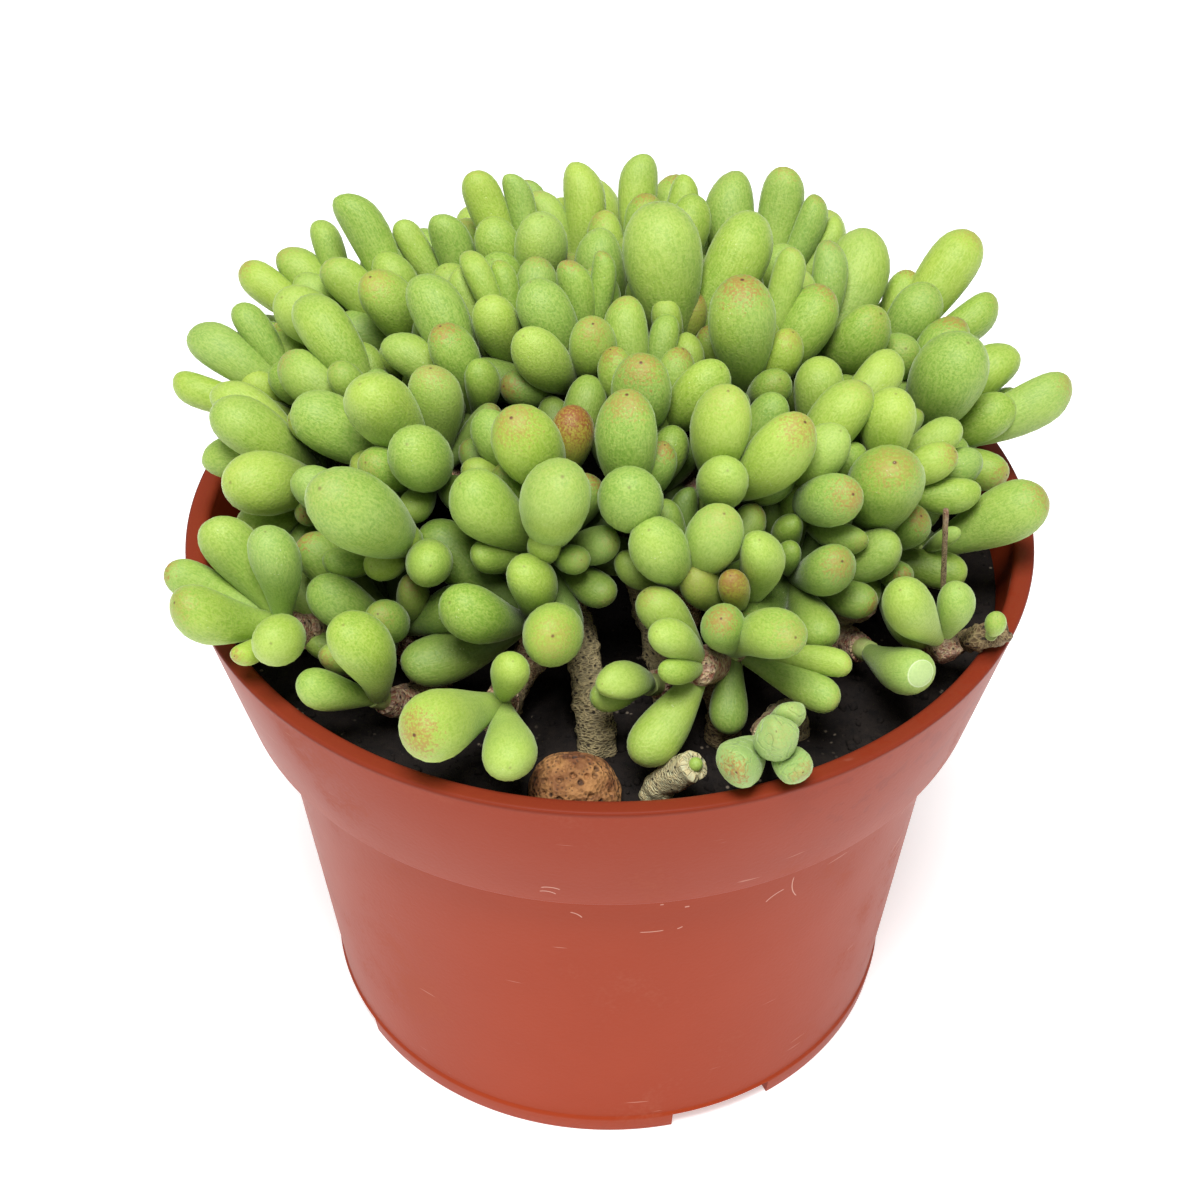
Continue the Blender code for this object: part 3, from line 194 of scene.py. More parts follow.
# %% A new finish
def new_finish(name, **fixed):
    """A material, its node tree, its shader node and the Object coordinates."""
    made = bpy.data.materials.new(name)
    made.use_nodes = True
    tree = made.node_tree
    shader = tree.nodes["Principled BSDF"]
    for key, value in fixed.items():
        shader.inputs[key.replace("_", " ")].default_value = value
    return made, tree, shader, add(tree, "ShaderNodeTexCoord", out=3)


def feed(shader, name, wire):
    shader.id_data.links.new(wire.socket, shader.inputs[name])


def raised(tree, height, strength, distance):
    """A bump from a height, for the shader's Normal."""
    return add(tree, "ShaderNodeBump", {}, {"Height": height, "Strength": strength, "Distance": distance})


def attribute(tree, name, out=2):
    """An attribute of the mesh in a material: out 2 is a number, out 1 a vector."""
    return add(tree, "ShaderNodeAttribute", {"attribute_name": name}, {}, out)


# %% [markdown]
# ## Sizes
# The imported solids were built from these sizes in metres, so the finer pieces use the
# same ones. The pot was measured in the photograph by the ellipses of its rim and foot.

# %% Sizes of the pot, the leaves and the stems
POT_RIM_RADIUS = 0.0700
POT_HEIGHT = 0.0983
COLLAR_BOTTOM_RADIUS = 0.0634
COLLAR_DEPTH = 0.0266
COLLAR_STEP = 0.0046
FOOT_RADIUS = 0.0507
FOOT_HEIGHT = 0.0036
FOOT_LIP = 0.0005
LIP_WIDTH = 0.0034
LIP_DEPTH = 0.0060
WALL = 0.0021
FLOOR_THICKNESS = 0.0018
RIM_ROUND = 0.0005
NOTCH_COUNT = 4
NOTCH_WIDTH = 0.0186
NOTCH_DEPTH = 0.014
NOTCH_TURN = math.radians(-66.9)
DRAIN_COUNT = 8
DRAIN_RADIUS = 0.0032
DRAIN_CIRCLE = 0.034

# Soil and pebble
TOUCH_GAP = 0.0003
SOIL_TOP = 0.0880
HOLE_DEPTH = 0.012
PEBBLE_AT = (-0.0056, -0.0566)
PEBBLE_HALF = (0.0072, 0.0058, 0.0082)

# Leaves, and the beads along one: their stations and their shares of its half width
REACH_PER_HALF_WIDTH = 3.55
REACH_LIMITS = (0.0110, 0.0215)
BEAD_STATIONS = (0.42, 0.62, 0.82, 1.0, 1.12)
BEAD_SHARES = (0.74, 0.92, 1.0, 0.95, 0.84)
LEAF_CLEARANCE = 0.0007

# Stems and necks
WOOD_FOOT = 0.0032
WOOD_TIP = 0.0026
RIM_STEM_RADIUS = 0.0018
RIM_STEM_SPUR = 0.0046
FOOT_COLLAR = 0.0012
STEM_SIDES = 5
NECK_LENGTH = 0.0052
NECK_RADIUS = 0.0023
BUD_NECK = 0.0007
BUD_REACH = (-0.0003, 0.0009, 0.0045)
BUD_SHARE = 0.87
NECK_END = 0.0012
FORK_LENGTH = 0.0045
FORK_START = 0.0038

# The dome of fat leaf ends, and how far the growing tips lie below it
DOME_CENTRE = (0.0, 0.005, 0.088)
DOME_RADII = (0.076, 0.067, 0.054)
TIP_DEPTH = 0.0175
SEED = 11


# %% [markdown]
# ## What the photograph shows
# Every shoot that can be told apart is noted once: the pixel of its growing tip with a
# height, and for each leaf the pixel of its fat end with its half width. It could also be
# grown by a rule alone, but then no leaf would lie where the real one does. Feet of
# stems, cut ends and the route over the rim are noted in the same way.

# %% Marks on the photograph
SHOOT_MARKS = {
    "left_fan": (
        (282, 622, 0.103),
        [(226, 541, 28), (273, 551, 28), (185, 578, 20), (196, 612, 29), (277, 641, 27), (244, 655, 13)],
    ),
    "left_low": ((378, 698, 0.097), [(357, 640, 32), (315, 688, 21)]),
    "left_inner": (
        (396, 628, 0.099),
        [(332, 598, 27), (350, 573, 21), (322, 556, 26), (413, 592, 18), (385, 620, 22)],
    ),
    "front_left": (
        (528, 622, 0.104),
        [(467, 611, 30), (430, 663, 28), (535, 567, 28), (553, 635, 33), (432, 547, 30)],
    ),
    "front_low": ((500, 703, 0.100), [(511, 669, 20), (430, 728, 36), (510, 757, 28)]),
    "front_mid": (None, [(477, 500, 33), (553, 501, 40), (575, 560, 17)]),
    "twin": ((652, 685, 0.099), [(615, 683, 21), (606, 695, 17)]),
    "scarred": ((704, 665, 0.104), [(672, 633, 22), (668, 605, 25), (672, 664, 15), (655, 745, 28)]),
    "right_spray": (
        (735, 652, 0.103),
        [(716, 626, 25), (750, 723, 21), (818, 688, 20), (835, 662, 16), (790, 614, 29)],
    ),
    "small_orange": ((738, 612, 0.106), [(745, 597, 17), (701, 586, 24), (762, 571, 26)]),
    "rim_shoot": ((767, 740, 0.098), [(788, 716, 17), (740, 767, 25), (787, 760, 23), (789, 786, 20)]),
    "centre_front": ((690, 582, 0.110), [(682, 502, 17), (748, 520, 21), (722, 526, 20), (632, 568, 19)]),
    "right_mid": ((790, 575, 0.106), [(789, 553, 13), (771, 513, 14), (832, 568, 26)]),
    "right_low": ((866, 650, 0.0970), [(915, 662, 27)]),
    "right_rim": ((941, 640, 0.1005), [(903, 613, 29), (957, 600, 20)]),
    "rim_bud": ((990, 634, 0.1068), [(990, 611, 12)]),
    "right_front": ((872, 552, 0.103), [(912, 523, 22), (885, 480, 42)]),
    "right_arm": ((922, 553, 0.101), [(1015, 505, 32), (950, 535, 9)]),
    "right_upper": (None, [(936, 460, 21), (960, 465, 22), (962, 495, 20), (945, 438, 20)]),
    "right_shelf": (None, [(953, 368, 38), (994, 368, 26), (1045, 397, 26), (1003, 407, 22)]),
    "right_back": (None, [(956, 256, 28), (980, 314, 20), (904, 287, 18), (919, 307, 25)]),
    "right_top": (None, [(864, 333, 29), (858, 266, 36), (832, 262, 20)]),
    "right_slope": (None, [(884, 372, 22), (884, 419, 20), (823, 385, 27)]),
    "right_centre": (None, [(842, 403, 30), (842, 497, 29)]),
    "centre_right": (None, [(783, 447, 34), (770, 412, 22), (724, 478, 28), (720, 424, 33)]),
    "centre": (None, [(630, 497, 34), (627, 423, 34), (677, 447, 22)]),
    "centre_left": (None, [(525, 441, 37), (474, 459, 21), (573, 428, 23), (587, 399, 22)]),
    "mid_centre": (None, [(626, 322, 25), (641, 388, 33), (705, 388, 29), (664, 330, 16)]),
    "mid_right": (None, [(742, 311, 34), (809, 311, 30), (773, 388, 22), (796, 270, 18)]),
    "top_centre": (None, [(662, 243, 42), (743, 246, 34), (691, 309, 18), (641, 293, 20), (721, 296, 15)]),
    "top_right": (None, [(738, 201, 29), (783, 198, 24), (812, 213, 17), (830, 233, 16), (793, 247, 22)]),
    "top_mid": (None, [(640, 179, 22), (686, 194, 17), (685, 218, 24), (603, 232, 22), (645, 215, 22)]),
    "upper_mid": (None, [(598, 292, 25), (582, 280, 20), (537, 351, 28), (540, 308, 29), (600, 268, 14)]),
    "top_left_mid": (None, [(568, 218, 24), (552, 205, 18), (533, 191, 14), (577, 194, 24)]),
    "top_left": (None, [(510, 224, 26), (503, 240, 24), (487, 192, 21), (508, 190, 16), (522, 250, 20)]),
    "upper_left_mid": (
        None,
        [(533, 281, 25), (508, 275, 14), (493, 319, 25), (468, 290, 23), (472, 266, 15)],
    ),
    "mid_left": (None, [(437, 302, 31), (408, 350, 24), (482, 378, 19)]),
    "upper_left_back": (None, [(437, 267, 23), (447, 236, 22), (406, 238, 16)]),
    "upper_left": (None, [(385, 295, 27), (393, 270, 24), (343, 277, 23), (363, 216, 24)]),
    "left_mid": (None, [(318, 320, 28), (303, 374, 27), (366, 358, 16)]),
    "left_back": (None, [(298, 266, 23), (262, 277, 20), (322, 240, 17)]),
    "left_edge": (None, [(284, 340, 20), (252, 319, 18), (212, 343, 23), (190, 388, 17)]),
    "left_rim": (None, [(237, 402, 25), (240, 420, 31), (257, 483, 35)]),
    "left_centre": (None, [(322, 420, 31), (378, 403, 36), (432, 391, 30), (419, 453, 34)]),
    "left_lower": (None, [(372, 506, 42), (312, 487, 24), (385, 562, 20)]),
}

# Where each woody stem leaves the soil (x, y in metres) and the shoots that it carries;
# a stem with no names carries the dome shoots that are nearest to it
STEM_FEET = {
    "stem_left": ((-0.040, -0.026), ("left_fan", "left_rim")),
    "stem_front_left": ((-0.027, -0.036), ("left_low", "left_inner")),
    "stem_front": ((-0.017, -0.040), ("front_low", "front_left")),
    "trunk_front": ((-0.002, -0.045), ("front_mid", "centre_left")),
    "stem_centre": ((0.0095, -0.034), ("twin", "centre_front", "centre")),
    "stem_scarred": ((0.0175, -0.0425), ("right_spray", "small_orange", "scarred")),
    "stem_right_front": ((0.028, -0.0415), ("rim_shoot",)),
    "stem_right_low": ((0.032, -0.020), ("right_low", "right_mid", "right_centre")),
    "stem_right_rim": ((0.0450, -0.0285), ("right_rim", "rim_bud")),
    "stem_right_arm": ((0.036, -0.006), ("right_arm", "right_upper", "right_front")),
    "trunk_left": ((-0.040, 0.004), ()),
    "trunk_middle_left": ((-0.016, -0.014), ()),
    "trunk_middle": ((0.010, -0.012), ()),
    "trunk_right": ((0.032, 0.018), ()),
    "trunk_back_left": ((-0.020, 0.030), ()),
    "trunk_back": ((0.010, 0.034), ()),
}

# Marked shoots whose growing tips lie so close that they are one green fork
FUSED_SHOOTS = (
    ("scarred", "right_spray", "small_orange"),
    ("right_front", "right_upper"),
    ("front_mid", "centre_left"),
)

# Cut ends on the wood: the shoot whose branch they leave, how far along it, the place of
# their end (x, y, height) and their radius
STUB_MARKS = {
    "thick_stub": ("right_low", 0.10, (862, 598, 0.1020), 0.0034),
    "flower_stalk": ("rim_bud", 0.20, (946, 510, 0.1180), 0.0007),
}
# Dried tips that go on through a shoot: the shoot, the place of their end and their radius
DRY_MARKS = {
    "dry_tip_long": ("right_spray", (783, 652, 0.1015), 0.0018),
    "dry_tip_short": ("small_orange", (760, 622, 0.1085), 0.0018),
    "dry_end": ("right_rim", (951, 658, 0.0990), 0.0023),
}
# The stem that lies over the rim, and the sawn stub beside the pebble
RIM_STEM_MARKS = ((953, 645, 0.0955), (966, 641, 0.0977), (978, 638, 0.1006), (1006, 631, 0.1012))
CUT_STUB_FOOT = (0.0072, -0.0560)
CUT_STUB_END = (0.0122, -0.0592, 0.0975)
CUT_STUB_RADIUS = 0.0023

# How the shoots that the marks leave open are grown
BACK_TRIALS = 240
BACK_START = 0.002
BACK_LEAVES = 5
BACK_TILTS = (math.radians(14), math.radians(66))
BACK_HALF_WIDTHS = (0.0036, 0.0052)
SHOOT_SPACING = 0.0095
OPEN_ROOM = 0.0106
MIDDLE_TIP = (0.004, 0.017, 0.122)
LOWEST_TIP = 0.0975
WIDEST_TIP = 0.0535
BACK_REACH = 0.0655
FULL_SHOOT = 5
FILL_DOME_SHARE = 0.93
FILL_TRIALS = 60
FILL_HALF_WIDTHS = (0.0026, 0.0042)
FILL_LEAN = math.radians(80)
GOLDEN_TURN = math.pi * (3.0 - math.sqrt(5.0))
PAIR_DISTANCE = 0.026
TIP_SPACING = 0.0105
SPREAD_TURNS = 40
RELAX_TURNS = 240
SHRINK_AFTER = 60
SHRINK_STEP = 0.05
NEIGHBOUR_TURNS = 12
NEIGHBOUR_REACH = 0.005
SHOOT_OVERLAP = 0.0007
PUSH = 1.2
PULL_BACK = 0.10
LAST_PULL_BACK = 0.01
SIGHT_SHARE = 0.25
LEAF_STRETCH = (0.85, 1.2)
LIGHTEST_MARKED = 0.93
LIGHTEST_GROWN = 0.55
ACROSS = (0.3, 0.1, 1.0)
RELAX_EASE = 60
ROUTE_POINTS = 9
ROUTE_TURNS = 120
ROUTE_SMOOTHING = 0.15
STEM_PUSH = 0.3
NECK_PUSH = 0.5
BEND_REACH = 0.35
SIDE_SHARES = (0.1, 0.2, 0.3, 0.4, 0.5, 0.6)
ROUND_TO = 5


# %% [markdown]
# ## From a pixel to a place
# A pixel is a ray from the camera. A growing tip lies where its ray reaches the noted
# height. A leaf slides along its ray until it has its natural length from the tip, which
# is about three and a half times its half width.

# %% Rays and the dome
def unit(v):
    return v / np.linalg.norm(v)


def view_ray(x, y):
    """The direction of a pixel, scaled so that one unit along it is one unit of depth."""
    side = (x - VIEW_CENTRE[0]) / VIEW_FOCAL
    up = (VIEW_CENTRE[1] - y) / VIEW_FOCAL
    c, s = math.cos(VIEW_TILT), math.sin(VIEW_TILT)
    return np.array([side, c + s * up, -s + c * up])


def at_height(mark):
    """The point of a pixel's ray that lies at the given height."""
    x, y, height = mark
    ray = view_ray(x, y)
    return np.array(VIEW_FROM) + ray * ((height - VIEW_FROM[2]) / ray[2])


def on_dome(x, y):
    """Where a pixel's ray meets the dome, or passes nearest to it."""
    origin = np.array(VIEW_FROM)
    ray = view_ray(x, y)
    radii = np.array(DOME_RADII)
    o = (origin - np.array(DOME_CENTRE)) / radii
    d = ray / radii
    a, b, c = d @ d, o @ d, o @ o - 1.0
    inside = b * b - a * c
    depth = (-b - math.sqrt(inside)) / a if inside > 0 else -b / a
    return origin + ray * depth, depth


def dome_normal(p):
    return unit((p - np.array(DOME_CENTRE)) / np.array(DOME_RADII) ** 2)


def leaning(axis, tilt, turn):
    """The way that leans out from an axis by a tilt, at a turn round it."""
    side = unit(np.cross(axis, ACROSS))
    around = side * math.cos(turn) + np.cross(axis, side) * math.sin(turn)
    return axis * math.cos(tilt) + around * math.sin(tilt)


def leaf_reach(half_width):
    """The distance from the growing tip to the middle of a leaf's fat end."""
    return float(np.clip(REACH_PER_HALF_WIDTH * half_width, *REACH_LIMITS))


def beyond(limits, reach, half):
    """How far a leaf goes on past the middle of its fat end: by half widths, or less if short."""
    return min(limits[0] * half, limits[1] * reach)


def place_on_ray(tip, x, y, half_pixels, depth, from_above):
    """Slide a leaf's fat end along its pixel's ray until the leaf has its natural length."""
    origin = np.array(VIEW_FROM)
    ray = view_ray(x, y)
    reach = leaf_reach(half_pixels * depth / VIEW_FOCAL)
    o = origin - tip
    a, b, c = ray @ ray, o @ ray, o @ o - reach ** 2
    inside = b * b - a * c
    if inside > 0:
        near = (-b - math.sqrt(inside)) / a
        far = (-b + math.sqrt(inside)) / a
        depth = near if from_above or abs(near - depth) <= abs(far - depth) else far
    else:
        depth = -b / a
    return origin + ray * depth, half_pixels * depth / VIEW_FOCAL


# %% [markdown]
# ## Shoots that the marks give, and shoots behind them
# The back of the dome is out of sight. There, shoots are set evenly where the marks leave
# room, and their leaves turn by the golden angle from one to the next, as they do on the
# living plant.

# %% Shoots
class Plant:
    """All growing tips and leaves, as arrays that the relaxation can move."""

    def __init__(self):
        self.names = []
        self.tips = []
        self.owner = []
        self.ends = []
        self.half = []
        self.sight = []
        self.firm = []

    def add_tip(self, name, tip):
        self.names.append(name)
        self.tips.append(tip)
        return len(self.tips) - 1

    def add_leaf(self, owner, end, half, sight=(0.0, 0.0, 0.0), firm=0.2):
        self.owner.append(owner)
        self.ends.append(end)
        self.half.append(half)
        self.sight.append(sight)
        self.firm.append(firm)

    def settle(self):
        self.tips = np.array(self.tips)
        self.owner = np.array(self.owner)
        self.ends = np.array(self.ends)
        self.half = np.array(self.half)
        self.sight = np.array(self.sight)
        self.firm = np.array(self.firm)

    def lean(self, index):
        """The mean direction of a shoot's leaves."""
        ends = self.ends[self.owner == index] - self.tips[index]
        return unit(np.mean(ends / np.linalg.norm(ends, axis=1)[:, None], axis=0))


def spread(tips, hidden):
    """Move hidden growing tips apart until they have room for their necks."""
    for turn in range(SPREAD_TURNS):
        for a in range(len(tips)):
            for b in range(len(tips)):
                apart = tips[a] - tips[b]
                length = np.linalg.norm(apart)
                if a != b and hidden[a] and length < TIP_SPACING:
                    tips[a] = tips[a] + apart / length * (TIP_SPACING - length) * 0.5
    return tips


def grow_marked(plant):
    """The shoots that the marks show, with each leaf's fat end under its mark."""
    tips = []
    for mark, leaves in SHOOT_MARKS.values():
        if mark is None:
            middle = np.mean([on_dome(x, y)[0] for x, y, half in leaves], axis=0)
            tips.append(middle - dome_normal(middle) * TIP_DEPTH)
        else:
            tips.append(at_height(mark))
    tips = spread(tips, [mark is None for mark, leaves in SHOOT_MARKS.values()])
    for tip, (name, (mark, leaves)) in zip(tips, SHOOT_MARKS.items()):
        index = plant.add_tip(name, tip)
        for x, y, half in leaves:
            depth = on_dome(x, y)[1]
            end, half_width = place_on_ray(tip, x, y, half, depth, mark is not None)
            plant.add_leaf(index, end, half_width, unit(view_ray(x, y)), 1.0)


def back_shoot(plant, rng, tip, normal, phase):
    """A shoot whose leaves turn round its axis by the golden angle and lean out more and more."""
    index = plant.add_tip("back_%02d" % (1 + sum(n.startswith("back") for n in plant.names)), tip)
    for k in range(BACK_LEAVES):
        tilt = BACK_TILTS[0] + (BACK_TILTS[1] - BACK_TILTS[0]) * k / (BACK_LEAVES - 1)
        way = leaning(normal, tilt, k * GOLDEN_TURN + phase)
        half = rng.uniform(*BACK_HALF_WIDTHS)
        end = tip + way * leaf_reach(half)
        if math.hypot(end[0], end[1]) > BACK_REACH:
            end = tip + unit(way + np.array([0.0, 0.0, 1.0])) * leaf_reach(half)
        plant.add_leaf(index, end, half)


def grow_back(plant, rng):
    """Shoots on the side of the dome that the marks leave open, evenly spread."""
    middle = np.array(MIDDLE_TIP)
    back_shoot(plant, rng, middle, dome_normal(middle), 0)
    for i in range(BACK_TRIALS):
        height = 1.0 - 1.02 * (i + 0.5) / BACK_TRIALS
        ring = math.sqrt(max(0.0, 1.0 - height * height))
        turn = i * GOLDEN_TURN
        direction = np.array([ring * math.cos(turn), ring * math.sin(turn), height])
        point = np.array(DOME_CENTRE) + direction * np.array(DOME_RADII)
        normal = dome_normal(point)
        tip = point - normal * TIP_DEPTH
        tip[2] = max(tip[2], LOWEST_TIP)
        if point[1] < BACK_START or math.hypot(tip[0], tip[1]) > WIDEST_TIP:
            continue
        if min(np.linalg.norm(tip - other) for other in plant.tips) < SHOOT_SPACING:
            continue
        if min(np.linalg.norm(point - end) for end in plant.ends) < OPEN_ROOM:
            continue
        back_shoot(plant, rng, tip, normal, i)


# %% [markdown]
# ## Inner leaves, forks and trunks
# A real shoot is full: small leaves stand inside it. Thin shoots are filled up in the
# freest directions. Shoots that stand close share a green fork, and each is carried by
# the stem that names it or by the nearest trunk.

# %% Filling and carrying
def beads_of(tips, ends, half):
    """Round beads along each leaf, which stand for it while the leaves are eased apart."""
    along = np.array(BEAD_STATIONS)
    shares = np.array(BEAD_SHARES)
    places = tips[:, None, :] + (ends - tips)[:, None, :] * along[None, :, None]
    return places.reshape(-1, 3), (half[:, None] * shares[None, :]).reshape(-1)


def dome_share(place):
    """0 at the middle of the dome, 1 on it and more outside it."""
    share = (place - np.array(DOME_CENTRE)) / np.array(DOME_RADII)
    return share @ share


def lowest_at(place, width):
    """The height of what lies below: the pot's rim or the soil."""
    over_rim = math.hypot(place[0], place[1]) > POT_RIM_RADIUS - LIP_WIDTH - width
    return POT_HEIGHT if over_rim else SOIL_TOP


def fill_shoots(plant, rng):
    """Inner leaves for thin shoots, each in the freest direction and under the dome."""
    tips, ends = list(plant.tips), list(plant.ends)
    for index, name in enumerate(plant.names):
        if SHOOT_MARKS.get(name, (None,))[0] is not None:
            continue
        here = [k for k, o in enumerate(plant.owner) if o == index]
        lean = unit(np.mean([unit(ends[k] - tips[index]) for k in here], axis=0))
        for extra in range(max(0, FULL_SHOOT - len(here))):
            owners = np.array(plant.owner)
            places, radii = beads_of(np.array(tips)[owners], np.array(plant.ends), np.array(plant.half))
            best, best_room = None, 0.0
            for trial in range(FILL_TRIALS):
                tilt = FILL_LEAN * math.sqrt(rng.uniform(0.02, 1.0))
                way = leaning(lean, tilt, rng.uniform(0.0, 2.0 * math.pi))
                width = rng.uniform(*FILL_HALF_WIDTHS)
                end = tips[index] + way * leaf_reach(width)
                if dome_share(end) > FILL_DOME_SHARE or end[2] < lowest_at(end, width) + width:
                    continue
                room = (np.linalg.norm(places - end, axis=1) - radii).min() - width
                if room > best_room:
                    best, best_room = (end, width), room
            if best is None:
                break
            plant.add_leaf(index, best[0], best[1])


def pair_up(plant, carried):
    """Dome shoots share a green fork, two by two, with the nearest of the same trunk."""
    fused = [[plant.names.index(name) for name in names] for names in FUSED_SHOOTS]
    loose = [i for i, name in enumerate(plant.names) if not STEM_FEET[carried[name]][1]]
    near = []
    for a in loose:
        for b in loose:
            apart = np.linalg.norm(plant.tips[a] - plant.tips[b])
            if a < b and apart < PAIR_DISTANCE and carried[plant.names[a]] == carried[plant.names[b]]:
                near.append((round(apart, ROUND_TO), a, b))
    taken, sprigs = {i for group in fused for i in group}, fused
    for apart, a, b in sorted(near):
        if a not in taken and b not in taken:
            taken.update((a, b))
            sprigs.append([a, b])
    sprigs += [[i] for i in range(len(plant.names)) if i not in taken]
    return sorted(sprigs)


def carry(plant):
    """The stem of each shoot: the one that names it, or the nearest trunk of the dome."""
    carried = {}
    for stem, (foot, names) in STEM_FEET.items():
        for name in names:
            carried[name] = stem
    open_stems = [stem for stem, (foot, names) in STEM_FEET.items() if not names]
    for tip, name in zip(plant.tips, plant.names):
        if name not in carried:
            carried[name] = min(open_stems, key=lambda s: math.hypot(*(tip[:2] - np.array(STEM_FEET[s][0]))))
    return carried


# %% [markdown]
# ## The routes of the stems
# Each stem leaves the soil, leans to its farthest shoot and sends side branches to the
# others. The branches are bent clear of each other. One thin stem lies over the rim and
# follows its marks instead.

# %% Routes
def bezier(a, b, c, d, count):
    t = np.linspace(0.0, 1.0, count)[:, None]
    return a * (1 - t) ** 3 + b * 3 * t * (1 - t) ** 2 + c * 3 * t ** 2 * (1 - t) + d * t ** 3


def keep_inside(points, radius):
    """Hold stem points above the soil and clear of the pot's wall."""
    points[:, 2] = np.maximum(points[:, 2], SOIL_TOP + radius + TOUCH_GAP)
    reach = np.hypot(points[:, 0], points[:, 1])
    room = POT_RIM_RADIUS - LIP_WIDTH - radius - 2 * TOUCH_GAP
    low = (reach > room) & (points[:, 2] < POT_HEIGHT + radius + TOUCH_GAP)
    points[low, 0] *= room / reach[low]
    points[low, 1] *= room / reach[low]
    return points


def neck_way(plant, sprig, start):
    """The way that a sprig's green neck leaves the end of its branch."""
    return unit(plant.tips[sprig].mean(axis=0) - start)


def branch_end(plant, sprig, foot):
    """Where a sprig's branch ends, and the way of the green neck from there."""
    middle = plant.tips[sprig].mean(axis=0)
    if plant.names[sprig[0]] == "rim_bud":
        before, end = [at_height(mark) for mark in RIM_STEM_MARKS[-2:]]
        return end, unit(end - before)
    lean = unit(np.mean([plant.lean(i) for i in sprig], axis=0))
    way = unit(lean * 0.75 + unit(middle - foot) * 0.55)
    below = NECK_LENGTH + (FORK_LENGTH if len(sprig) > 1 else 0.0)
    end = keep_inside((middle - way * below)[None, :], WOOD_TIP)[0]
    return end, unit(middle - end)


def bend(start, rise, end, way):
    """A smooth branch from its start, which rises a little, to its end along the neck."""
    span = np.linalg.norm(end - start)
    first = start + unit(rise + unit(end - start)) * BEND_REACH * span
    points = bezier(start, first, end - way * BEND_REACH * span, end, ROUTE_POINTS)
    points[1:-1] = keep_inside(points[1:-1], WOOD_FOOT)
    return points


def rim_route(foot):
    """The stem that lies over the rim: its foot, its marks and the points halfway."""
    corners = np.array([foot] + [at_height(mark) for mark in RIM_STEM_MARKS])
    route = np.repeat(corners, 2, axis=0)[:-1]
    route[1::2] = (corners[:-1] + corners[1:]) / 2
    return route


def lay_routes(plant, sprigs, carried):
    """A main branch for each stem, from its foot, and side branches that leave it."""
    stems = [carried[plant.names[sprig[0]]] for sprig in sprigs]
    routes, roots = [None] * len(sprigs), [None] * len(sprigs)
    for stem, (place, names) in STEM_FEET.items():
        foot = np.array([*place, SOIL_TOP + WOOD_FOOT + TOUCH_GAP])
        mine = [k for k in range(len(sprigs)) if stems[k] == stem]
        ends = {k: branch_end(plant, sprigs[k], foot) for k in mine}
        mine.sort(key=lambda k: -round(np.linalg.norm(ends[k][0] - foot), ROUND_TO))
        main = mine[0]
        if plant.names[sprigs[main][0]] == "rim_bud":
            routes[main] = rim_route(foot)
        else:
            routes[main] = bend(foot, np.array([0.0, 0.0, 1.0]), *ends[main])
        length = np.linalg.norm(ends[main][0] - foot)
        for k in mine[1:]:
            cost = [
                np.linalg.norm(along_route(routes[main], share) - ends[k][0]) + 0.6 * share * length
                for share in SIDE_SHARES
            ]
            share = SIDE_SHARES[int(np.argmin(np.round(cost, ROUND_TO)))]
            start = along_route(routes[main], share)
            routes[k] = bend(start, unit(ends[main][0] - foot), *ends[k])
            roots[k] = (main, share)
    ease_routes(plant, sprigs, routes, roots, stems)
    for k, root in enumerate(roots):
        if root and plant.names[sprigs[root[0]][0]] == "rim_bud":
            roots[k] = (root[0], SIDE_SHARES[0])
            start = along_route(routes[root[0]], SIDE_SHARES[0])
            spur = start + unit(plant.tips[sprigs[k][0]] - start) * RIM_STEM_SPUR
            routes[k] = np.linspace(start, spur, ROUTE_POINTS)
    return routes, roots


def crowd_push(points, others, need, counts, share):
    """The push on each point, away from others that count and lie nearer than it needs."""
    delta = points[:, None, :] - others[None, :, :]
    apart = np.sqrt((delta ** 2).sum(axis=2)) + 1e-9
    lack = np.maximum(need - apart, 0.0) * counts
    return (delta / apart[:, :, None] * lack[:, :, None] * share).sum(axis=1)


def ease_routes(plant, sprigs, routes, roots, stems):
    """Bend branches clear of other stems and of other shoots' necks, and keep them smooth."""
    points = np.array(routes)
    count = len(routes)
    loose = np.array([plant.names[sprig[0]] != "rim_bud" for sprig in sprigs])[:, None, None]
    different = np.array([[a != b for b in stems] for a in stems])
    different = np.repeat(np.repeat(different, ROUTE_POINTS, axis=0), ROUTE_POINTS, axis=1)
    need = 2 * WOOD_FOOT + 2 * TOUCH_GAP
    necks, neck_of = [], []
    for k, (sprig, route) in enumerate(zip(sprigs, routes)):
        for i in sprig:
            necks += list(np.linspace(route[-1], plant.tips[i], 4)[1:])
            neck_of += [k] * 3
    necks, neck_of = np.array(necks), np.array(neck_of)
    foreign = np.repeat(np.arange(count), ROUTE_POINTS)[:, None] != neck_of[None, :]
    need_neck = WOOD_FOOT + 1.3 * NECK_RADIUS + 2 * TOUCH_GAP
    for turn in range(ROUTE_TURNS):
        flat = points.reshape(-1, 3)
        push = crowd_push(flat, flat, need, different, STEM_PUSH)
        push += crowd_push(flat, necks, need_neck, foreign, NECK_PUSH)
        push = push.reshape(count, ROUTE_POINTS, 3)
        push[:, 0] = 0.0
        push[:, -1] = 0.0
        points += push * loose
        points[:, 1:-1] += ROUTE_SMOOTHING * loose * ((points[:, :-2] + points[:, 2:]) / 2 - points[:, 1:-1])
        for i in np.nonzero(loose[:, 0, 0])[0]:
            points[i, 1:-1] = keep_inside(points[i, 1:-1], WOOD_FOOT)
            if roots[i]:
                points[i, 0] = along_route(points[roots[i][0]], roots[i][1])
    for i in range(count):
        routes[i] = points[i]


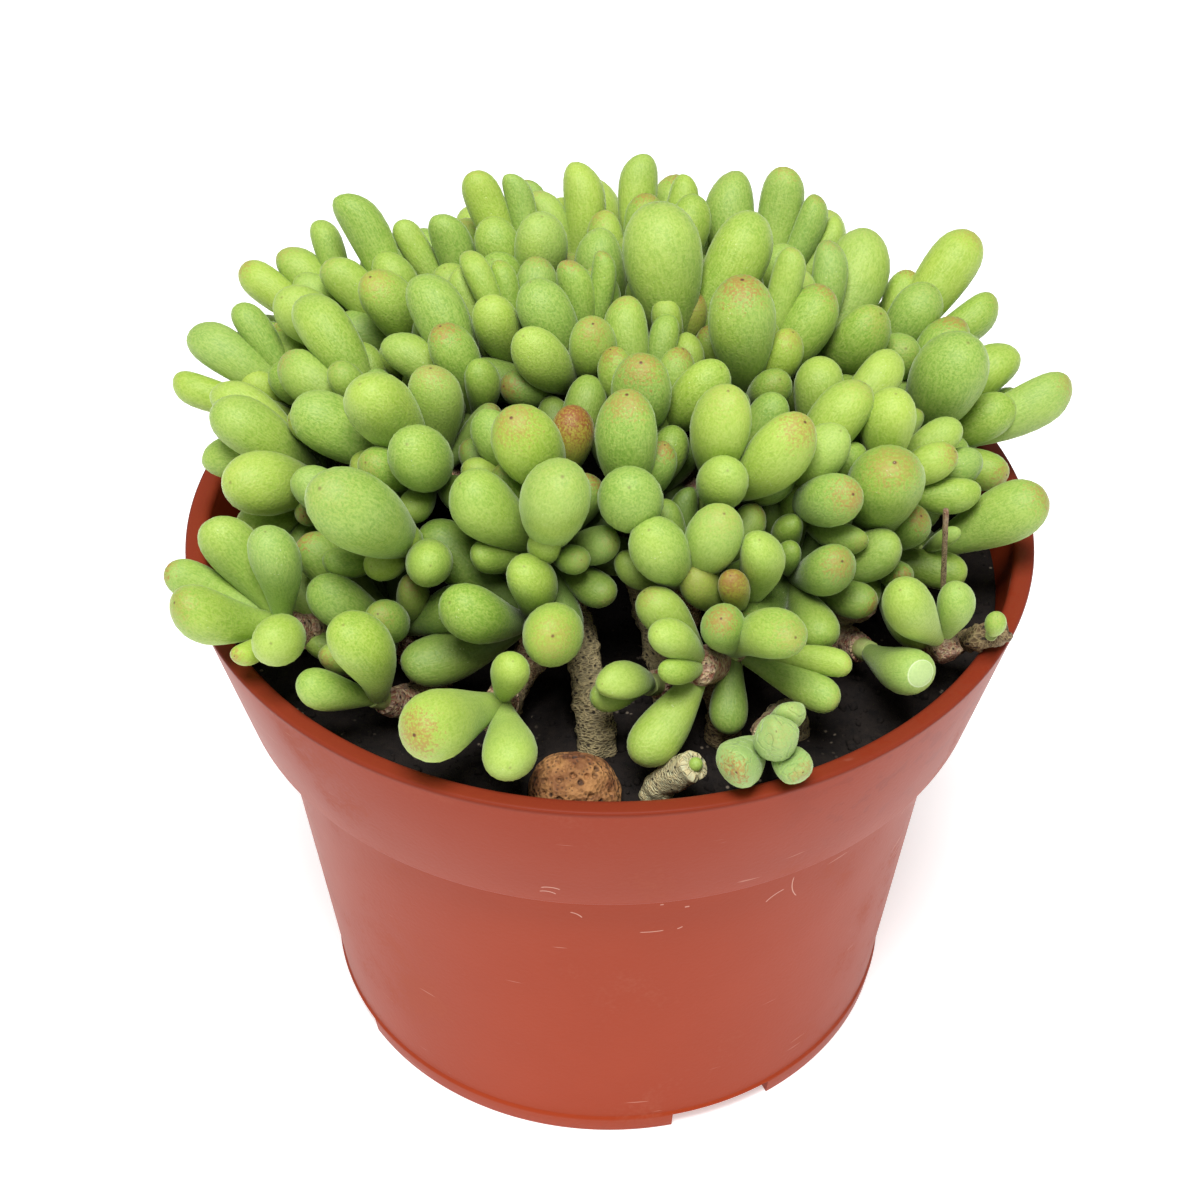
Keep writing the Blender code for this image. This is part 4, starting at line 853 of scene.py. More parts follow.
def along_route(route, share):
    """A point of a branch, by its share of the branch's length."""
    steps = np.linspace(0.0, 1.0, len(route))
    return np.array([np.interp(share, steps, route[:, k]) for k in range(3)])


# %% [markdown]
# ## Cut ends and what is in the way
# Some branches were cut and some tips have dried. These, the stems, the pebble, the pot's
# wall and the soil are what leaves have to keep clear of, each noted as round beads.

# %% Cut ends and fixed beads
def bud_way():
    """The way in which the single leaf leaves the upper side of the rim stem."""
    return unit(np.array(VIEW_FROM) - at_height(RIM_STEM_MARKS[-1]))


def seat_bud(plant, sprigs, routes):
    """Set the single leaf of the rim stem on the upper side of that stem."""
    bud = plant.names.index("rim_bud")
    route = next(route for sprig, route in zip(sprigs, routes) if bud in sprig)
    rise = RIM_STEM_RADIUS * math.cos(math.pi / STEM_SIDES) + TOUCH_GAP + BUD_NECK
    place = along_route(route, BUD_SHARE) + bud_way() * rise
    plant.tips[bud] = place
    plant.ends[plant.owner == bud] = place + np.array(BUD_REACH)


def stub_ends(plant, sprigs, routes):
    """Each cut or dried end: its stem's sprig, its two ends and its radius."""
    stubs = {}
    for name, (shoot, share, mark, radius) in STUB_MARKS.items():
        index = next(k for k, sprig in enumerate(sprigs) if plant.names.index(shoot) in sprig)
        stubs[name] = (index, along_route(routes[index], share), at_height(mark), radius)
    return stubs


def dry_tips(plant):
    """Each dried tip: its shoot, its two ends and its radius."""
    tips = {}
    for name, (shoot, mark, radius) in DRY_MARKS.items():
        index = plant.names.index(shoot)
        tips[name] = (index, plant.tips[index], at_height(mark), radius)
    return tips


def fixed_beads(plant, sprigs, routes, stubs):
    """What the leaves have to stay clear of, and the sprig that may touch it."""
    places, radii, allowed = [], [], []

    def add(points, radius, sprig):
        for p in points:
            places.append(p)
            radii.append(radius)
            allowed.append(sprig)

    for k, (sprig, route) in enumerate(zip(sprigs, routes)):
        dense = np.concatenate([route[:-1], (route[:-1] + route[1:]) / 2, route[-1:]])
        add(dense, WOOD_FOOT * 0.95, -1)
        for i in sprig:
            add(np.linspace(route[-1], plant.tips[i], 4)[1:], NECK_RADIUS * 1.2, k)
    for index, start, end, radius in stubs.values():
        add(np.linspace(start, end, 9), radius, -1)
    for index, start, end, radius in dry_tips(plant).values():
        add(np.linspace(start, end, 5)[2:], radius, -1)
    add(np.linspace((*CUT_STUB_FOOT, SOIL_TOP), CUT_STUB_END, 5), CUT_STUB_RADIUS, -1)
    pebble = np.array((*PEBBLE_AT, SOIL_TOP))
    add([pebble], PEBBLE_HALF[0], -1)
    return np.array(places), np.array(radii), np.array(allowed)


def clear_of_pot(places, radii):
    """How far each bead has to move to clear the pot's wall and the soil."""
    reach = np.hypot(places[:, 0], places[:, 1]) + 1e-9
    inner = POT_RIM_RADIUS - LIP_WIDTH
    side = reach - np.clip(reach, inner, POT_RIM_RADIUS)
    above = places[:, 2] - np.minimum(places[:, 2], POT_HEIGHT)
    apart = np.hypot(side, above)
    safe = np.maximum(apart, 1e-6)
    lack = np.maximum(radii + LEAF_CLEARANCE - apart, 0.0)
    out = np.where(apart > 1e-6, side / safe, 0.0) * lack / reach
    lift = np.where(apart > 1e-6, above / safe, 1.0) * lack
    sunk = np.maximum(SOIL_TOP + radii + LEAF_CLEARANCE - places[:, 2], 0.0)
    lift += np.where(reach < inner, sunk, 0.0)
    return np.stack([out * places[:, 0], out * places[:, 1], lift], axis=1)


# %% [markdown]
# ## Easing the leaves apart
# Leaves that were placed one by one overlap a little. They are pushed apart in small steps,
# as growing leaves push each other, and pulled back towards their marks. Marked leaves
# hold their place more firmly than grown ones.

# %% Easing and growing the plant
def squared_gaps(first, second):
    """The square of the distance from each of the first places to each of the second."""
    return ((first[:, None, :] - second[None, :, :]) ** 2).sum(axis=2)


def pushes(delta, clear):
    """The push along each line that makes it long enough, and what it lacks."""
    apart = np.sqrt((delta ** 2).sum(axis=1)) + 1e-9
    lack = np.maximum(clear - apart, 0.0)
    return delta / apart[:, None] * lack[:, None], lack


def ease_apart(plant, sprigs, fixed):
    """Push leaves clear of each other and of what is fixed, near their marks."""
    beads_each = len(BEAD_STATIONS)
    count = len(plant.ends)
    leaf = np.repeat(np.arange(count), beads_each)
    rank = np.tile(np.arange(beads_each), count)
    sprig_of_tip = np.zeros(len(plant.tips), int)
    for k, sprig in enumerate(sprigs):
        sprig_of_tip[sprig] = k
    base = plant.tips[plant.owner]
    start = plant.ends.copy()
    start_half = plant.half.copy()
    reach = np.linalg.norm(start - base, axis=1)
    lightest = np.where(plant.firm > 0.5, LIGHTEST_MARKED, LIGHTEST_GROWN)
    places_fixed, radii_fixed, allowed = fixed
    for turn in range(RELAX_TURNS):
        places, radii = beads_of(base, plant.ends, plant.half)
        if turn % NEIGHBOUR_TURNS == 0:
            reaches = radii[:, None] + radii[None, :] + NEIGHBOUR_REACH
            near = squared_gaps(places, places) < reaches ** 2
            near &= leaf[:, None] < leaf[None, :]
            same = plant.owner[leaf][:, None] == plant.owner[leaf][None, :]
            near &= ~(same & ((rank < 2)[:, None] | (rank < 2)[None, :]))
            a, b = np.nonzero(near)
            slack = np.where(same[a, b], -SHOOT_OVERLAP, LEAF_CLEARANCE)
            reaches = radii[:, None] + radii_fixed[None, :] + NEIGHBOUR_REACH
            near = squared_gaps(places, places_fixed) < reaches ** 2
            near &= sprig_of_tip[plant.owner[leaf]][:, None] != allowed[None, :]
            c, f = np.nonzero(near)
            share_a = plant.firm[leaf[b]] / (plant.firm[leaf[a]] + plant.firm[leaf[b]])
        push, lack = pushes(places[a] - places[b], radii[a] + radii[b] + slack)
        move = np.zeros((count, 3))
        hits = np.zeros(count)
        np.add.at(move, leaf[a], push * share_a[:, None])
        np.add.at(move, leaf[b], -push * (1.0 - share_a)[:, None])
        np.add.at(hits, leaf[a], lack > 0)
        np.add.at(hits, leaf[b], lack > 0)
        clear = radii[c] + radii_fixed[f] + LEAF_CLEARANCE
        push_fixed, lack_fixed = pushes(places[c] - places_fixed[f], clear)
        np.add.at(move, leaf[c], push_fixed)
        np.add.at(hits, leaf[c], lack_fixed > 0)
        pot = clear_of_pot(places, radii)
        np.add.at(move, leaf, pot)
        np.add.at(hits, leaf, np.abs(pot).sum(axis=1) > 0)
        tight = np.zeros(count)
        np.maximum.at(tight, leaf[a], lack)
        np.maximum.at(tight, leaf[b], lack)
        np.maximum.at(tight, leaf[c], lack_fixed)
        if turn > SHRINK_AFTER:
            plant.half = np.maximum(plant.half - SHRINK_STEP * tight, start_half * lightest)
        plant.ends = plant.ends + move / np.maximum(hits, 1.0)[:, None] * PUSH
        drift = start - plant.ends
        seen = (drift * plant.sight).sum(axis=1)[:, None] * plant.sight
        ease = PULL_BACK if turn < RELAX_TURNS - RELAX_EASE else LAST_PULL_BACK
        plant.ends = plant.ends + ((drift - seen) * ease + seen * SIGHT_SHARE * ease) * plant.firm[:, None]
        axis = plant.ends - base
        length = np.sqrt((axis ** 2).sum(axis=1))
        want = np.clip(length, reach * LEAF_STRETCH[0], reach * LEAF_STRETCH[1])
        plant.ends = base + axis * (1.0 + (want / length - 1.0) * 0.5)[:, None]


def grow_plant():
    rng = np.random.default_rng(SEED)
    plant = Plant()
    grow_marked(plant)
    grow_back(plant, rng)
    fill_shoots(plant, rng)
    plant.settle()
    carried = carry(plant)
    sprigs = pair_up(plant, carried)
    routes, roots = lay_routes(plant, sprigs, carried)
    seat_bud(plant, sprigs, routes)
    stubs = stub_ends(plant, sprigs, routes)
    fixed = fixed_beads(plant, sprigs, routes, stubs)
    ease_apart(plant, sprigs, fixed)
    plant.tips = np.round(plant.tips, ROUND_TO)
    plant.ends = np.round(plant.ends, ROUND_TO)
    plant.half = np.round(plant.half, ROUND_TO)
    routes = [np.round(route, ROUND_TO) for route in routes]
    return plant, carried, sprigs, routes, roots, stubs


plant, carried, sprigs, routes, roots, stubs = grow_plant()
print("plant:", len(plant.tips), "growing tips,", len(plant.ends), "leaves,", len(sprigs), "shoots or forks")


# %% [markdown]
# ## Small leaves in the gaps
# The living dome is so full that no soil shows through it: small young leaves fill every
# gap between the large ones. They are set here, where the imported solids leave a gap, each
# in a free direction from its growing tip and ending just below the heads of the others.

# %% Small leaves in the gaps
GAP_TRIALS = 420
GAP_LEAVES = 9
GAP_HALF_WIDTHS = (0.0023, 0.0046)
GAP_SLACK = 0.0010
GAP_SEED = 23
GAP_REACHES = (0.95, 1.25)
FILLED_SHOOTS = ("centre_front", "right_mid", "left_inner", "right_front")


def fill_gaps(plant):
    """Add small leaves where nothing is in their way, and count them."""
    rng = np.random.default_rng(GAP_SEED)
    before = len(plant.ends)
    for index, name in enumerate(plant.names):
        if name in SHOOT_MARKS and SHOOT_MARKS[name][0] is not None and name not in FILLED_SHOOTS:
            continue
        tip, lean = plant.tips[index], plant.lean(index)
        added = 0
        for trial in range(GAP_TRIALS):
            tilt = FILL_LEAN * math.sqrt(rng.uniform(0.0, 1.0))
            way = leaning(lean, tilt, rng.uniform(0.0, 2.0 * math.pi))
            width = rng.uniform(*GAP_HALF_WIDTHS)
            end = tip + way * leaf_reach(width) * rng.uniform(*GAP_REACHES)
            if dome_share(end) > 1.0 or end[2] < lowest_at(end, width) + 2 * width:
                continue
            mine = tip + (end - tip) * np.array(BEAD_STATIONS)[1:, None]
            places, radii = beads_of(plant.tips[plant.owner], plant.ends, plant.half)
            keep = np.tile(np.arange(len(BEAD_STATIONS)), len(plant.ends)) > 1
            apart = np.linalg.norm(mine[:, None, :] - places[None, keep, :], axis=2) - radii[None, keep]
            if (apart.min(axis=1) - width * np.array(BEAD_SHARES)[1:])[1:].min() < -GAP_SLACK:
                continue
            plant.owner = np.append(plant.owner, index)
            plant.ends = np.concatenate([plant.ends, [end]])
            plant.half = np.append(plant.half, width)
            added += 1
            if added == GAP_LEAVES:
                break
    return len(plant.ends) - before


print("small leaves in the gaps:", fill_gaps(plant))


# %% [markdown]
# ## Turned and cut bodies
# The pot and the soil are turned round the Z axis from a profile. A Boolean then cuts the
# pot's notches and drain holes.

# %% Turned and cut bodies
def mesh_object(name, points, faces, finish=None):
    mesh = bpy.data.meshes.new(name)
    mesh.from_pydata([tuple(p) for p in points], [], faces)
    mesh.validate()
    made = bpy.data.objects.new(name, mesh)
    if finish:
        mesh.materials.append(finish)
    bpy.context.scene.collection.objects.link(made)
    return made


def turned(name, profile, sides):
    """A closed turned body; the profile runs from the axis round to the axis."""
    points = [(0.0, 0.0, profile[0][1])]
    faces = []
    for radius, height in profile[1:-1]:
        for k in range(sides):
            turn = 2.0 * math.pi * k / sides
            points.append((radius * math.cos(turn), radius * math.sin(turn), height))
    points.append((0.0, 0.0, profile[-1][1]))
    rings = len(profile) - 2
    last = len(points) - 1
    for k in range(sides):
        after = (k + 1) % sides
        faces.append((0, 1 + after, 1 + k))
        for ring in range(rings - 1):
            low = 1 + ring * sides
            high = low + sides
            faces.append((low + k, low + after, high + after, high + k))
        top = 1 + (rings - 1) * sides
        faces.append((top + k, top + after, last))
    return mesh_object(name, points, faces)


def as_plain(obj, name, finish):
    """The object with its modifiers applied, as a new object."""
    seen = obj.evaluated_get(bpy.context.evaluated_depsgraph_get())
    mesh = bpy.data.meshes.new_from_object(seen)
    mesh.name = name
    mesh.materials.clear()
    mesh.materials.append(finish)
    made = bpy.data.objects.new(name, mesh)
    bpy.context.scene.collection.objects.link(made)
    return made


def cut_out(base, cutters, name, finish):
    """The body less all the cutters; what was used is dropped."""
    group = bpy.data.collections.new(name + "_cutters")
    bpy.context.scene.collection.children.link(group)
    for cutter in cutters:
        group.objects.link(cutter)
    step = base.modifiers.new("cut", "BOOLEAN")
    step.operation = "DIFFERENCE"
    step.operand_type = "COLLECTION"
    step.collection = group
    step.solver = "EXACT"
    made = as_plain(base, name, finish)
    for used in [base, *cutters]:
        bpy.data.objects.remove(used)
    bpy.data.collections.remove(group)
    return made


def wall_radius(height):
    """The pot's outer radius at a height, between its foot and its collar."""
    top = POT_HEIGHT - COLLAR_DEPTH
    share = (height - FOOT_HEIGHT) / (top - FOOT_HEIGHT)
    return FOOT_RADIUS + (COLLAR_BOTTOM_RADIUS - COLLAR_STEP - FOOT_RADIUS) * share


def inner_radius(height):
    """The pot's inner radius at a height, below the collar's shelf or from it up."""
    shelf = POT_HEIGHT - COLLAR_DEPTH + WALL
    if height < shelf:
        return wall_radius(height) - WALL
    low = COLLAR_BOTTOM_RADIUS - WALL
    share = (height - shelf) / (COLLAR_DEPTH - WALL - LIP_DEPTH)
    return low + (POT_RIM_RADIUS - LIP_WIDTH - RIM_ROUND - low) * min(share, 1.0)


# %% [markdown]
# ## Growing geometry from points
# What repeats, such as leaves and crumbs, or follows a path, such as bark, grows in a
# geometry tree. Its input is a mesh of bare points or chains of points, with numbers on
# them. The result is turned into a plain mesh at once, and the tree's modifier goes.

# %% Point meshes, geometry trees and plain results
def point_mesh(name, points, edges, **values):
    """Bare points, joined by edges or not, with a number or a vector for each as attributes."""
    mesh = bpy.data.meshes.new(name)
    mesh.from_pydata([tuple(p) for p in points], edges, [])
    for label, numbers in values.items():
        numbers = np.asarray(numbers, np.float32)
        vector = numbers.ndim == 2
        layer = mesh.attributes.new(label, "FLOAT_VECTOR" if vector else "FLOAT", "POINT")
        layer.data.foreach_set("vector" if vector else "value", numbers.ravel())
    return mesh


def geometry_tree(name, **numbers):
    """An empty geometry tree with named number inputs, and its input sockets."""
    tree = bpy.data.node_groups.new(name, "GeometryNodeTree")
    tree.interface.new_socket("Geometry", in_out="INPUT", socket_type="NodeSocketGeometry")
    for label, value in numbers.items():
        socket = tree.interface.new_socket(label, in_out="INPUT", socket_type="NodeSocketFloat")
        socket.default_value = value
    tree.interface.new_socket("Geometry", in_out="OUTPUT", socket_type="NodeSocketGeometry")
    start = tree.nodes.new("NodeGroupInput")
    return tree, {socket.name: Wire(socket) for socket in start.outputs if socket.name}


def end_tree(tree, geometry):
    tree.links.new(geometry.socket, tree.nodes.new("NodeGroupOutput").inputs[0])


def named(tree, name, kind="FLOAT"):
    return add(tree, "GeometryNodeInputNamedAttribute", {"data_type": kind}, {"Name": name})


def keep_as(geometry, name, value, kind="FLOAT"):
    """Store a value on the points of a geometry, under a name."""
    inputs = {"Geometry": geometry, "Name": name, "Value": value}
    settings = {"data_type": kind, "domain": "POINT"}
    return add(geometry.tree, "GeometryNodeStoreNamedAttribute", settings, inputs)


def shifted(geometry, offset):
    return add(geometry.tree, "GeometryNodeSetPosition", {}, {"Geometry": geometry, "Offset": offset})


def ring_of(tree, sides):
    return add(tree, "GeometryNodeCurvePrimitiveCircle", {}, {"Resolution": sides, "Radius": 1.0})


def tube_along(tree, chains, ring):
    """A closed tube along each chain of points, as thick as its points say."""
    inputs = {"Curve": chains, "Profile Curve": ring, "Scale": named(tree, "thick"), "Fill Caps": True}
    return add(tree, "GeometryNodeCurveToMesh", {}, inputs)


def dressed(geometry, finish):
    """Smooth shading and a material."""
    smooth = add(geometry.tree, "GeometryNodeSetShadeSmooth", {}, {"Geometry": geometry})
    return add(geometry.tree, "GeometryNodeSetMaterial", {}, {"Geometry": smooth, "Material": finish})


def grown(name, mesh, tree):
    """The plain object that a geometry tree grows from a mesh."""
    source = bpy.data.objects.new(name + "_source", mesh)
    scene.collection.objects.link(source)
    step = source.modifiers.new("grow", "NODES")
    step.node_group = tree
    graph = bpy.context.evaluated_depsgraph_get()
    seen = source.evaluated_get(graph)
    plain = bpy.data.meshes.new_from_object(seen, preserve_all_data_layers=True, depsgraph=graph)
    plain.name = name
    bpy.data.objects.remove(source)
    made = bpy.data.objects.new(name, plain)
    scene.collection.objects.link(made)
    return made


def settle(piece, node):
    """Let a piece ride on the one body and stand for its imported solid."""
    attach(piece, "root")
    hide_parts(node)


# %% [markdown]
# ## The leaf finish
# A real leaf is bright yellow-green, yellower in patches where light comes through the
# flesh, and dusted with a pale wax bloom and fine flecks. Many leaves have a little rusty
# colour at the tip, round a dark dot, and dry water marks as pale specks. Deep inside the
# dome the skin is darkened by painted shade, where little light gets there.

# %% Leaf skin
GREEN_FLESH = (0.190, 0.335, 0.032)
YELLOW_FLESH = (0.345, 0.480, 0.048)
PALE_FLECKS = (0.52, 0.61, 0.16)
DARK_FLECKS = (0.10, 0.21, 0.028)
LEAF_BASE = (0.34, 0.46, 0.11)
WAX_BLOOM = (0.35, 0.49, 0.21)
CUT_FACE = (0.55, 0.68, 0.36)
CUT_EDGE = (0.74, 0.80, 0.56)
OLIVE = (0.42, 0.38, 0.050)
RUST = (0.27, 0.062, 0.022)
WARM_TIP = (0.34, 0.155, 0.038)
PAINTED_DOME_SHADE = (0.028, 0.056, 0.008)
TIP_DOT = (0.12, 0.040, 0.020)
WATER_MARK = (0.70, 0.74, 0.52)
GRAIN_STEPS = (16.0, 16.0, 18.0)


def leaf_finish():
    made, tree, shader, place = new_finish(
        "leaf_skin",
        Subsurface_Weight=0.10,
        Subsurface_Scale=0.003,
        Subsurface_Radius=(0.6, 1.0, 0.25),
        Specular_IOR_Level=0.34,
        Sheen_Weight=0.26,
        Sheen_Roughness=0.30,
        Sheen_Tint=(0.90, 1.0, 0.75, 1.0),
    )
    on_leaf = attribute(tree, "leaf_place", 1)
    along = parts_of(on_leaf)[2]
    tint, blush = attribute(tree, "tint"), attribute(tree, "blush")
    orange, bloom = attribute(tree, "orange"), attribute(tree, "bloom")
    own = on_leaf.move("MULTIPLY", GRAIN_STEPS)
    own = own.move("ADD", vector_of(tree, tint * 31.0, blush * 17.0, tint * 7.0))
    grain = noise(tree, own, 1.0, 3.0, 0.65)
    mottle = noise(tree, place, 2400.0, 3.0, 0.6)
    patches = noise(tree, place, 120.0, 2.0)
    flesh = mixed((tint * 0.6 + patches * 0.8 - 0.25).clamp(0.1, 0.9), GREEN_FLESH, YELLOW_FLESH)
    fine = (grain * 0.7 + mottle * 0.6).clamp(0.48, 0.80)
    flesh = mixed(fine * 0.38, flesh, PALE_FLECKS)
    flesh = mixed((grain * 0.6 + mottle * 0.5).clamp(0.62, 0.40) * 0.13, flesh, DARK_FLECKS)
    flesh = mixed((1 - along.clamp(0.10, 0.50)) * 0.40, flesh, LEAF_BASE)
    wax = (noise(tree, place, 150.0, 4.0) + bloom - 0.5).clamp(0.35, 1.15) * 0.24
    wax = wax.math("MAXIMUM", attribute(tree, "grey") * 0.50)
    skin = mixed(wax, flesh, WAX_BLOOM)
    blunt = attribute(tree, "blunt").clamp(0.5, 1.0)
    skin = mixed(along.clamp(0.935, 0.950) * blunt * 0.45, skin, CUT_FACE)
    skin = mixed(along.math("COMPARE", 0.948, 0.005) * blunt * 0.35, skin, CUT_EDGE)
    rust = (along * 0.9 + mottle * 0.9 + grain * 0.6 - 0.80).clamp(0.45, 0.95)
    burnt = mixed(rust, OLIVE, RUST)
    skin = mixed(orange * (0.30 + along.clamp(0.30, 0.80) * 0.70), skin, burnt)
    warm = (along + mottle * 0.55 - 0.27).clamp(0.90, 1.03) * blush
    skin = mixed(warm * 0.82, skin, WARM_TIP)
    # Painted shade: the skin is painted darker towards the inside of the dome.
    deep = place.move("SUBTRACT", DOME_CENTRE).move("DIVIDE", DOME_RADII)
    deep = add(tree, "ShaderNodeVectorMath", {"operation": "LENGTH"}, {0: deep}, 1)
    skin = mixed((1 - deep.clamp(0.66, 0.99)) * 0.90, skin, PAINTED_DOME_SHADE)
    dot = along.clamp(0.9950, 0.9993) * (0.40 + blush) * (1 - blunt)
    skin = mixed(dot, skin, TIP_DOT)
    speck = dots(tree, place, 1150.0, 0.08, 0.14) * patches.clamp(0.56, 0.66)
    skin = mixed(speck * 0.35, skin, WATER_MARK)
    feed(shader, "Base Color", skin)
    feed(shader, "Roughness", 0.42 + wax * 0.35 + grain * 0.10)
    fold = (noise(tree, place, 420.0, 1.0) - 0.5).math("ABSOLUTE").clamp(0.0, 0.05)
    fold = fold * attribute(tree, "grey").clamp(0.5, 1.0)
    feed(shader, "Normal", raised(tree, grain * 0.5 + mottle * 0.8 + fold * 2.2, 0.40, 0.0004))
    return made


leaf_skin = leaf_finish()
print("leaf skin:", len(leaf_skin.node_tree.nodes), "nodes")


# %% [markdown]
# ## The neck finish
# Leaves grow from a short neck, green at the top and scaly brown where it turns to wood.

# %% Neck skin
def neck_finish():
    made, tree, shader, place = new_finish("neck_skin")
    age = attribute(tree, "age")
    rough = noise(tree, place, 700.0, 4.0, 0.65)
    skin = mixed((age + rough - 0.5).clamp(0.1, 0.9), (0.34, 0.42, 0.13), (0.16, 0.075, 0.032))
    skin = mixed((rough - 0.5) * 0.8, skin, (0.45, 0.36, 0.20))
    feed(shader, "Base Color", skin)
    feed(shader, "Roughness", 0.55 + age * 0.25)
    feed(shader, "Normal", raised(tree, rough, 0.5, 0.0004))
    return made


neck_skin = neck_finish()


# %% [markdown]
# ## The bark finish
# The old stems wear a fine net of pale wrinkles with dark hollows between, and are dotted
# with dark specks where leaves dropped off. The bark is brown, the sawn stub is much
# paler, and near the leaves it turns to red-brown scales with pale edges. The pattern is
# measured round the stem and along it, in the same numbers that raise it in the shape.

# %% Bark
WRINKLE_CELL = 760.0
SCAR_CELL = 300.0
SCALE_CELL = 520.0
SPECK_CELL = 620.0
STEM_STRETCH = (1.0, 1.0, 2.6)
BARK_RADIUS = 0.0034
DARK_BARK = (0.090, 0.046, 0.015)
BROWN_BARK = (0.130, 0.080, 0.024)
SAWN_BARK = (0.56, 0.56, 0.34)
BARK_FLECKS = (0.60, 0.46, 0.23)
BARK_HOLLOW = (0.045, 0.024, 0.011)
PALE_NET = (0.54, 0.42, 0.20)
DARK_SCALE = (0.17, 0.050, 0.026)
RED_SCALE = (0.30, 0.115, 0.065)
SCALE_FLECKS = (0.62, 0.50, 0.36)
SCALE_EDGE = (0.50, 0.42, 0.22)
BARK_SPECK = (0.016, 0.009, 0.006)


def bark_knobs(tree, on_bark):
    """Low round swellings where leaves dropped off, from 0 to 1."""
    return dots(tree, on_bark, SCAR_CELL, 0.05, 0.62, loose=0.8)


def bark_finish():
    made, tree, shader, place = new_finish("bark")
    on_bark = attribute(tree, "bark_place", 1)
    young, pale = attribute(tree, "young"), attribute(tree, "pale")
    wander = wobble(tree, place, 520.0).move("SCALE", 0.0011)
    rings = on_bark.move("MULTIPLY", STEM_STRETCH).move("ADD", wander)
    net = dots(tree, rings, WRINKLE_CELL, 0.04, 0.20, "DISTANCE_TO_EDGE", 0.9)
    hollow = dots(tree, rings, WRINKLE_CELL, 0.10, 0.42, loose=0.9)
    fine = noise(tree, place, 1100.0, 4.0, 0.7)
    patch = noise(tree, place, 170.0, 3.0)
    speck = dots(tree, on_bark, SPECK_CELL, 0.14, 0.26, loose=0.9)
    old = mixed(patch.clamp(0.40, 0.62), DARK_BARK, BROWN_BARK)
    old = mixed(pale, old, SAWN_BARK)
    old = mixed((fine - 0.42).math("MAXIMUM", 0.0) * (0.9 + pale * 1.9), old, BARK_FLECKS)
    old = mixed(hollow * (0.78 - pale * 0.45), old, BARK_HOLLOW)
    old = mixed(net * (0.34 + pale * 0.24), old, PALE_NET)
    scales = mixed(cells(tree, on_bark, SCALE_CELL).clamp(0.2, 0.6), DARK_SCALE, RED_SCALE)
    scales = mixed((fine - 0.42) * 2.6, scales, SCALE_FLECKS)
    scales = mixed(dots(tree, on_bark, SCALE_CELL, 0.0, 0.12, "DISTANCE_TO_EDGE") * 0.7, scales, SCALE_EDGE)
    skin = mixed(young, old, scales)
    skin = mixed(speck * 0.9, skin, BARK_SPECK)
    feed(shader, "Base Color", skin)
    feed(shader, "Roughness", 0.70 + fine * 0.2)
    feed(shader, "Normal", raised(tree, fine * 0.8 + net * 0.7 - hollow * 0.4 - speck, 0.75, 0.0005))
    return made


bark = bark_finish()


# %% [markdown]
# ## A tree for bark
# Each branch is a chain of points with a radius. A round section is drawn along it, and
# swellings where leaves dropped off are raised on it as shape, with knobs a few
# millimetres wide. The dried tips in the shoots are made by the same nodes.

# %% Woody stems
def bark_section(tree, chains, sides, scar_height, knob_height):
    """Nodes that turn chains of points into rough, barked branches."""
    run = add(tree, "GeometryNodeSplineParameter", out=1) + named(tree, "shift")
    branch = keep_as(chains, "run", run)
    turned_by = add(tree, "GeometryNodeInputIndex") / sides * (2 * math.pi)
    tube = tube_along(tree, branch, keep_as(ring_of(tree, sides), "around", turned_by))
    around = named(tree, "around")
    x, y = around.math("COSINE") * BARK_RADIUS, around.math("SINE") * BARK_RADIUS
    tube = keep_as(tube, "bark_place", vector_of(tree, x, y, named(tree, "run") * 1.5), "FLOAT_VECTOR")
    knobs = noise(tree, add(tree, "GeometryNodeInputPosition"), 230.0, 2.0) - 0.5
    rise = bark_knobs(tree, named(tree, "bark_place", "FLOAT_VECTOR")) * scar_height
    rise = (rise + knobs * knob_height) * named(tree, "relief")
    tube = shifted(tube, add(tree, "GeometryNodeInputNormal").move("SCALE", rise))
    tube = add(tree, "GeometryNodeRealizeInstances", {}, {"Geometry": tube})
    return dressed(tube, bark)


def bark_tree():
    tree, given = geometry_tree("bark_tube", Sides=26.0, Scar_Height=0.00065, Knob_Height=0.0016)
    chains = add(tree, "GeometryNodeMeshToCurve", {}, {"Mesh": given["Geometry"]})
    end_tree(tree, bark_section(tree, chains, given["Sides"], given["Scar_Height"], given["Knob_Height"]))
    return tree


# %% [markdown]
# ## A tree for leafy shoots
# An egg-shaped shell with ninety faces is set on every leaf point, turned and sized
# by the numbers there. Then each is bent a little, so that it curves up at its end,
# wrinkled where it is marked so, and smoothed by one subdivision. Chains of points become
# the green necks and the dried tips.

# %% Leafy shoots
LEAF_MARK = 0.77
LEAF_CUT = 0.945
LEAF_PROFILE = (
    (0.0, 0.34),
    (0.1, 0.41),
    (0.25, 0.56),
    (0.4, 0.75),
    (0.55, 0.92),
    (0.67, 1.0),
    (0.77, 0.985),
    (0.87, 0.865),
    (0.945, 0.60),
    (1.0, 0.10),
)


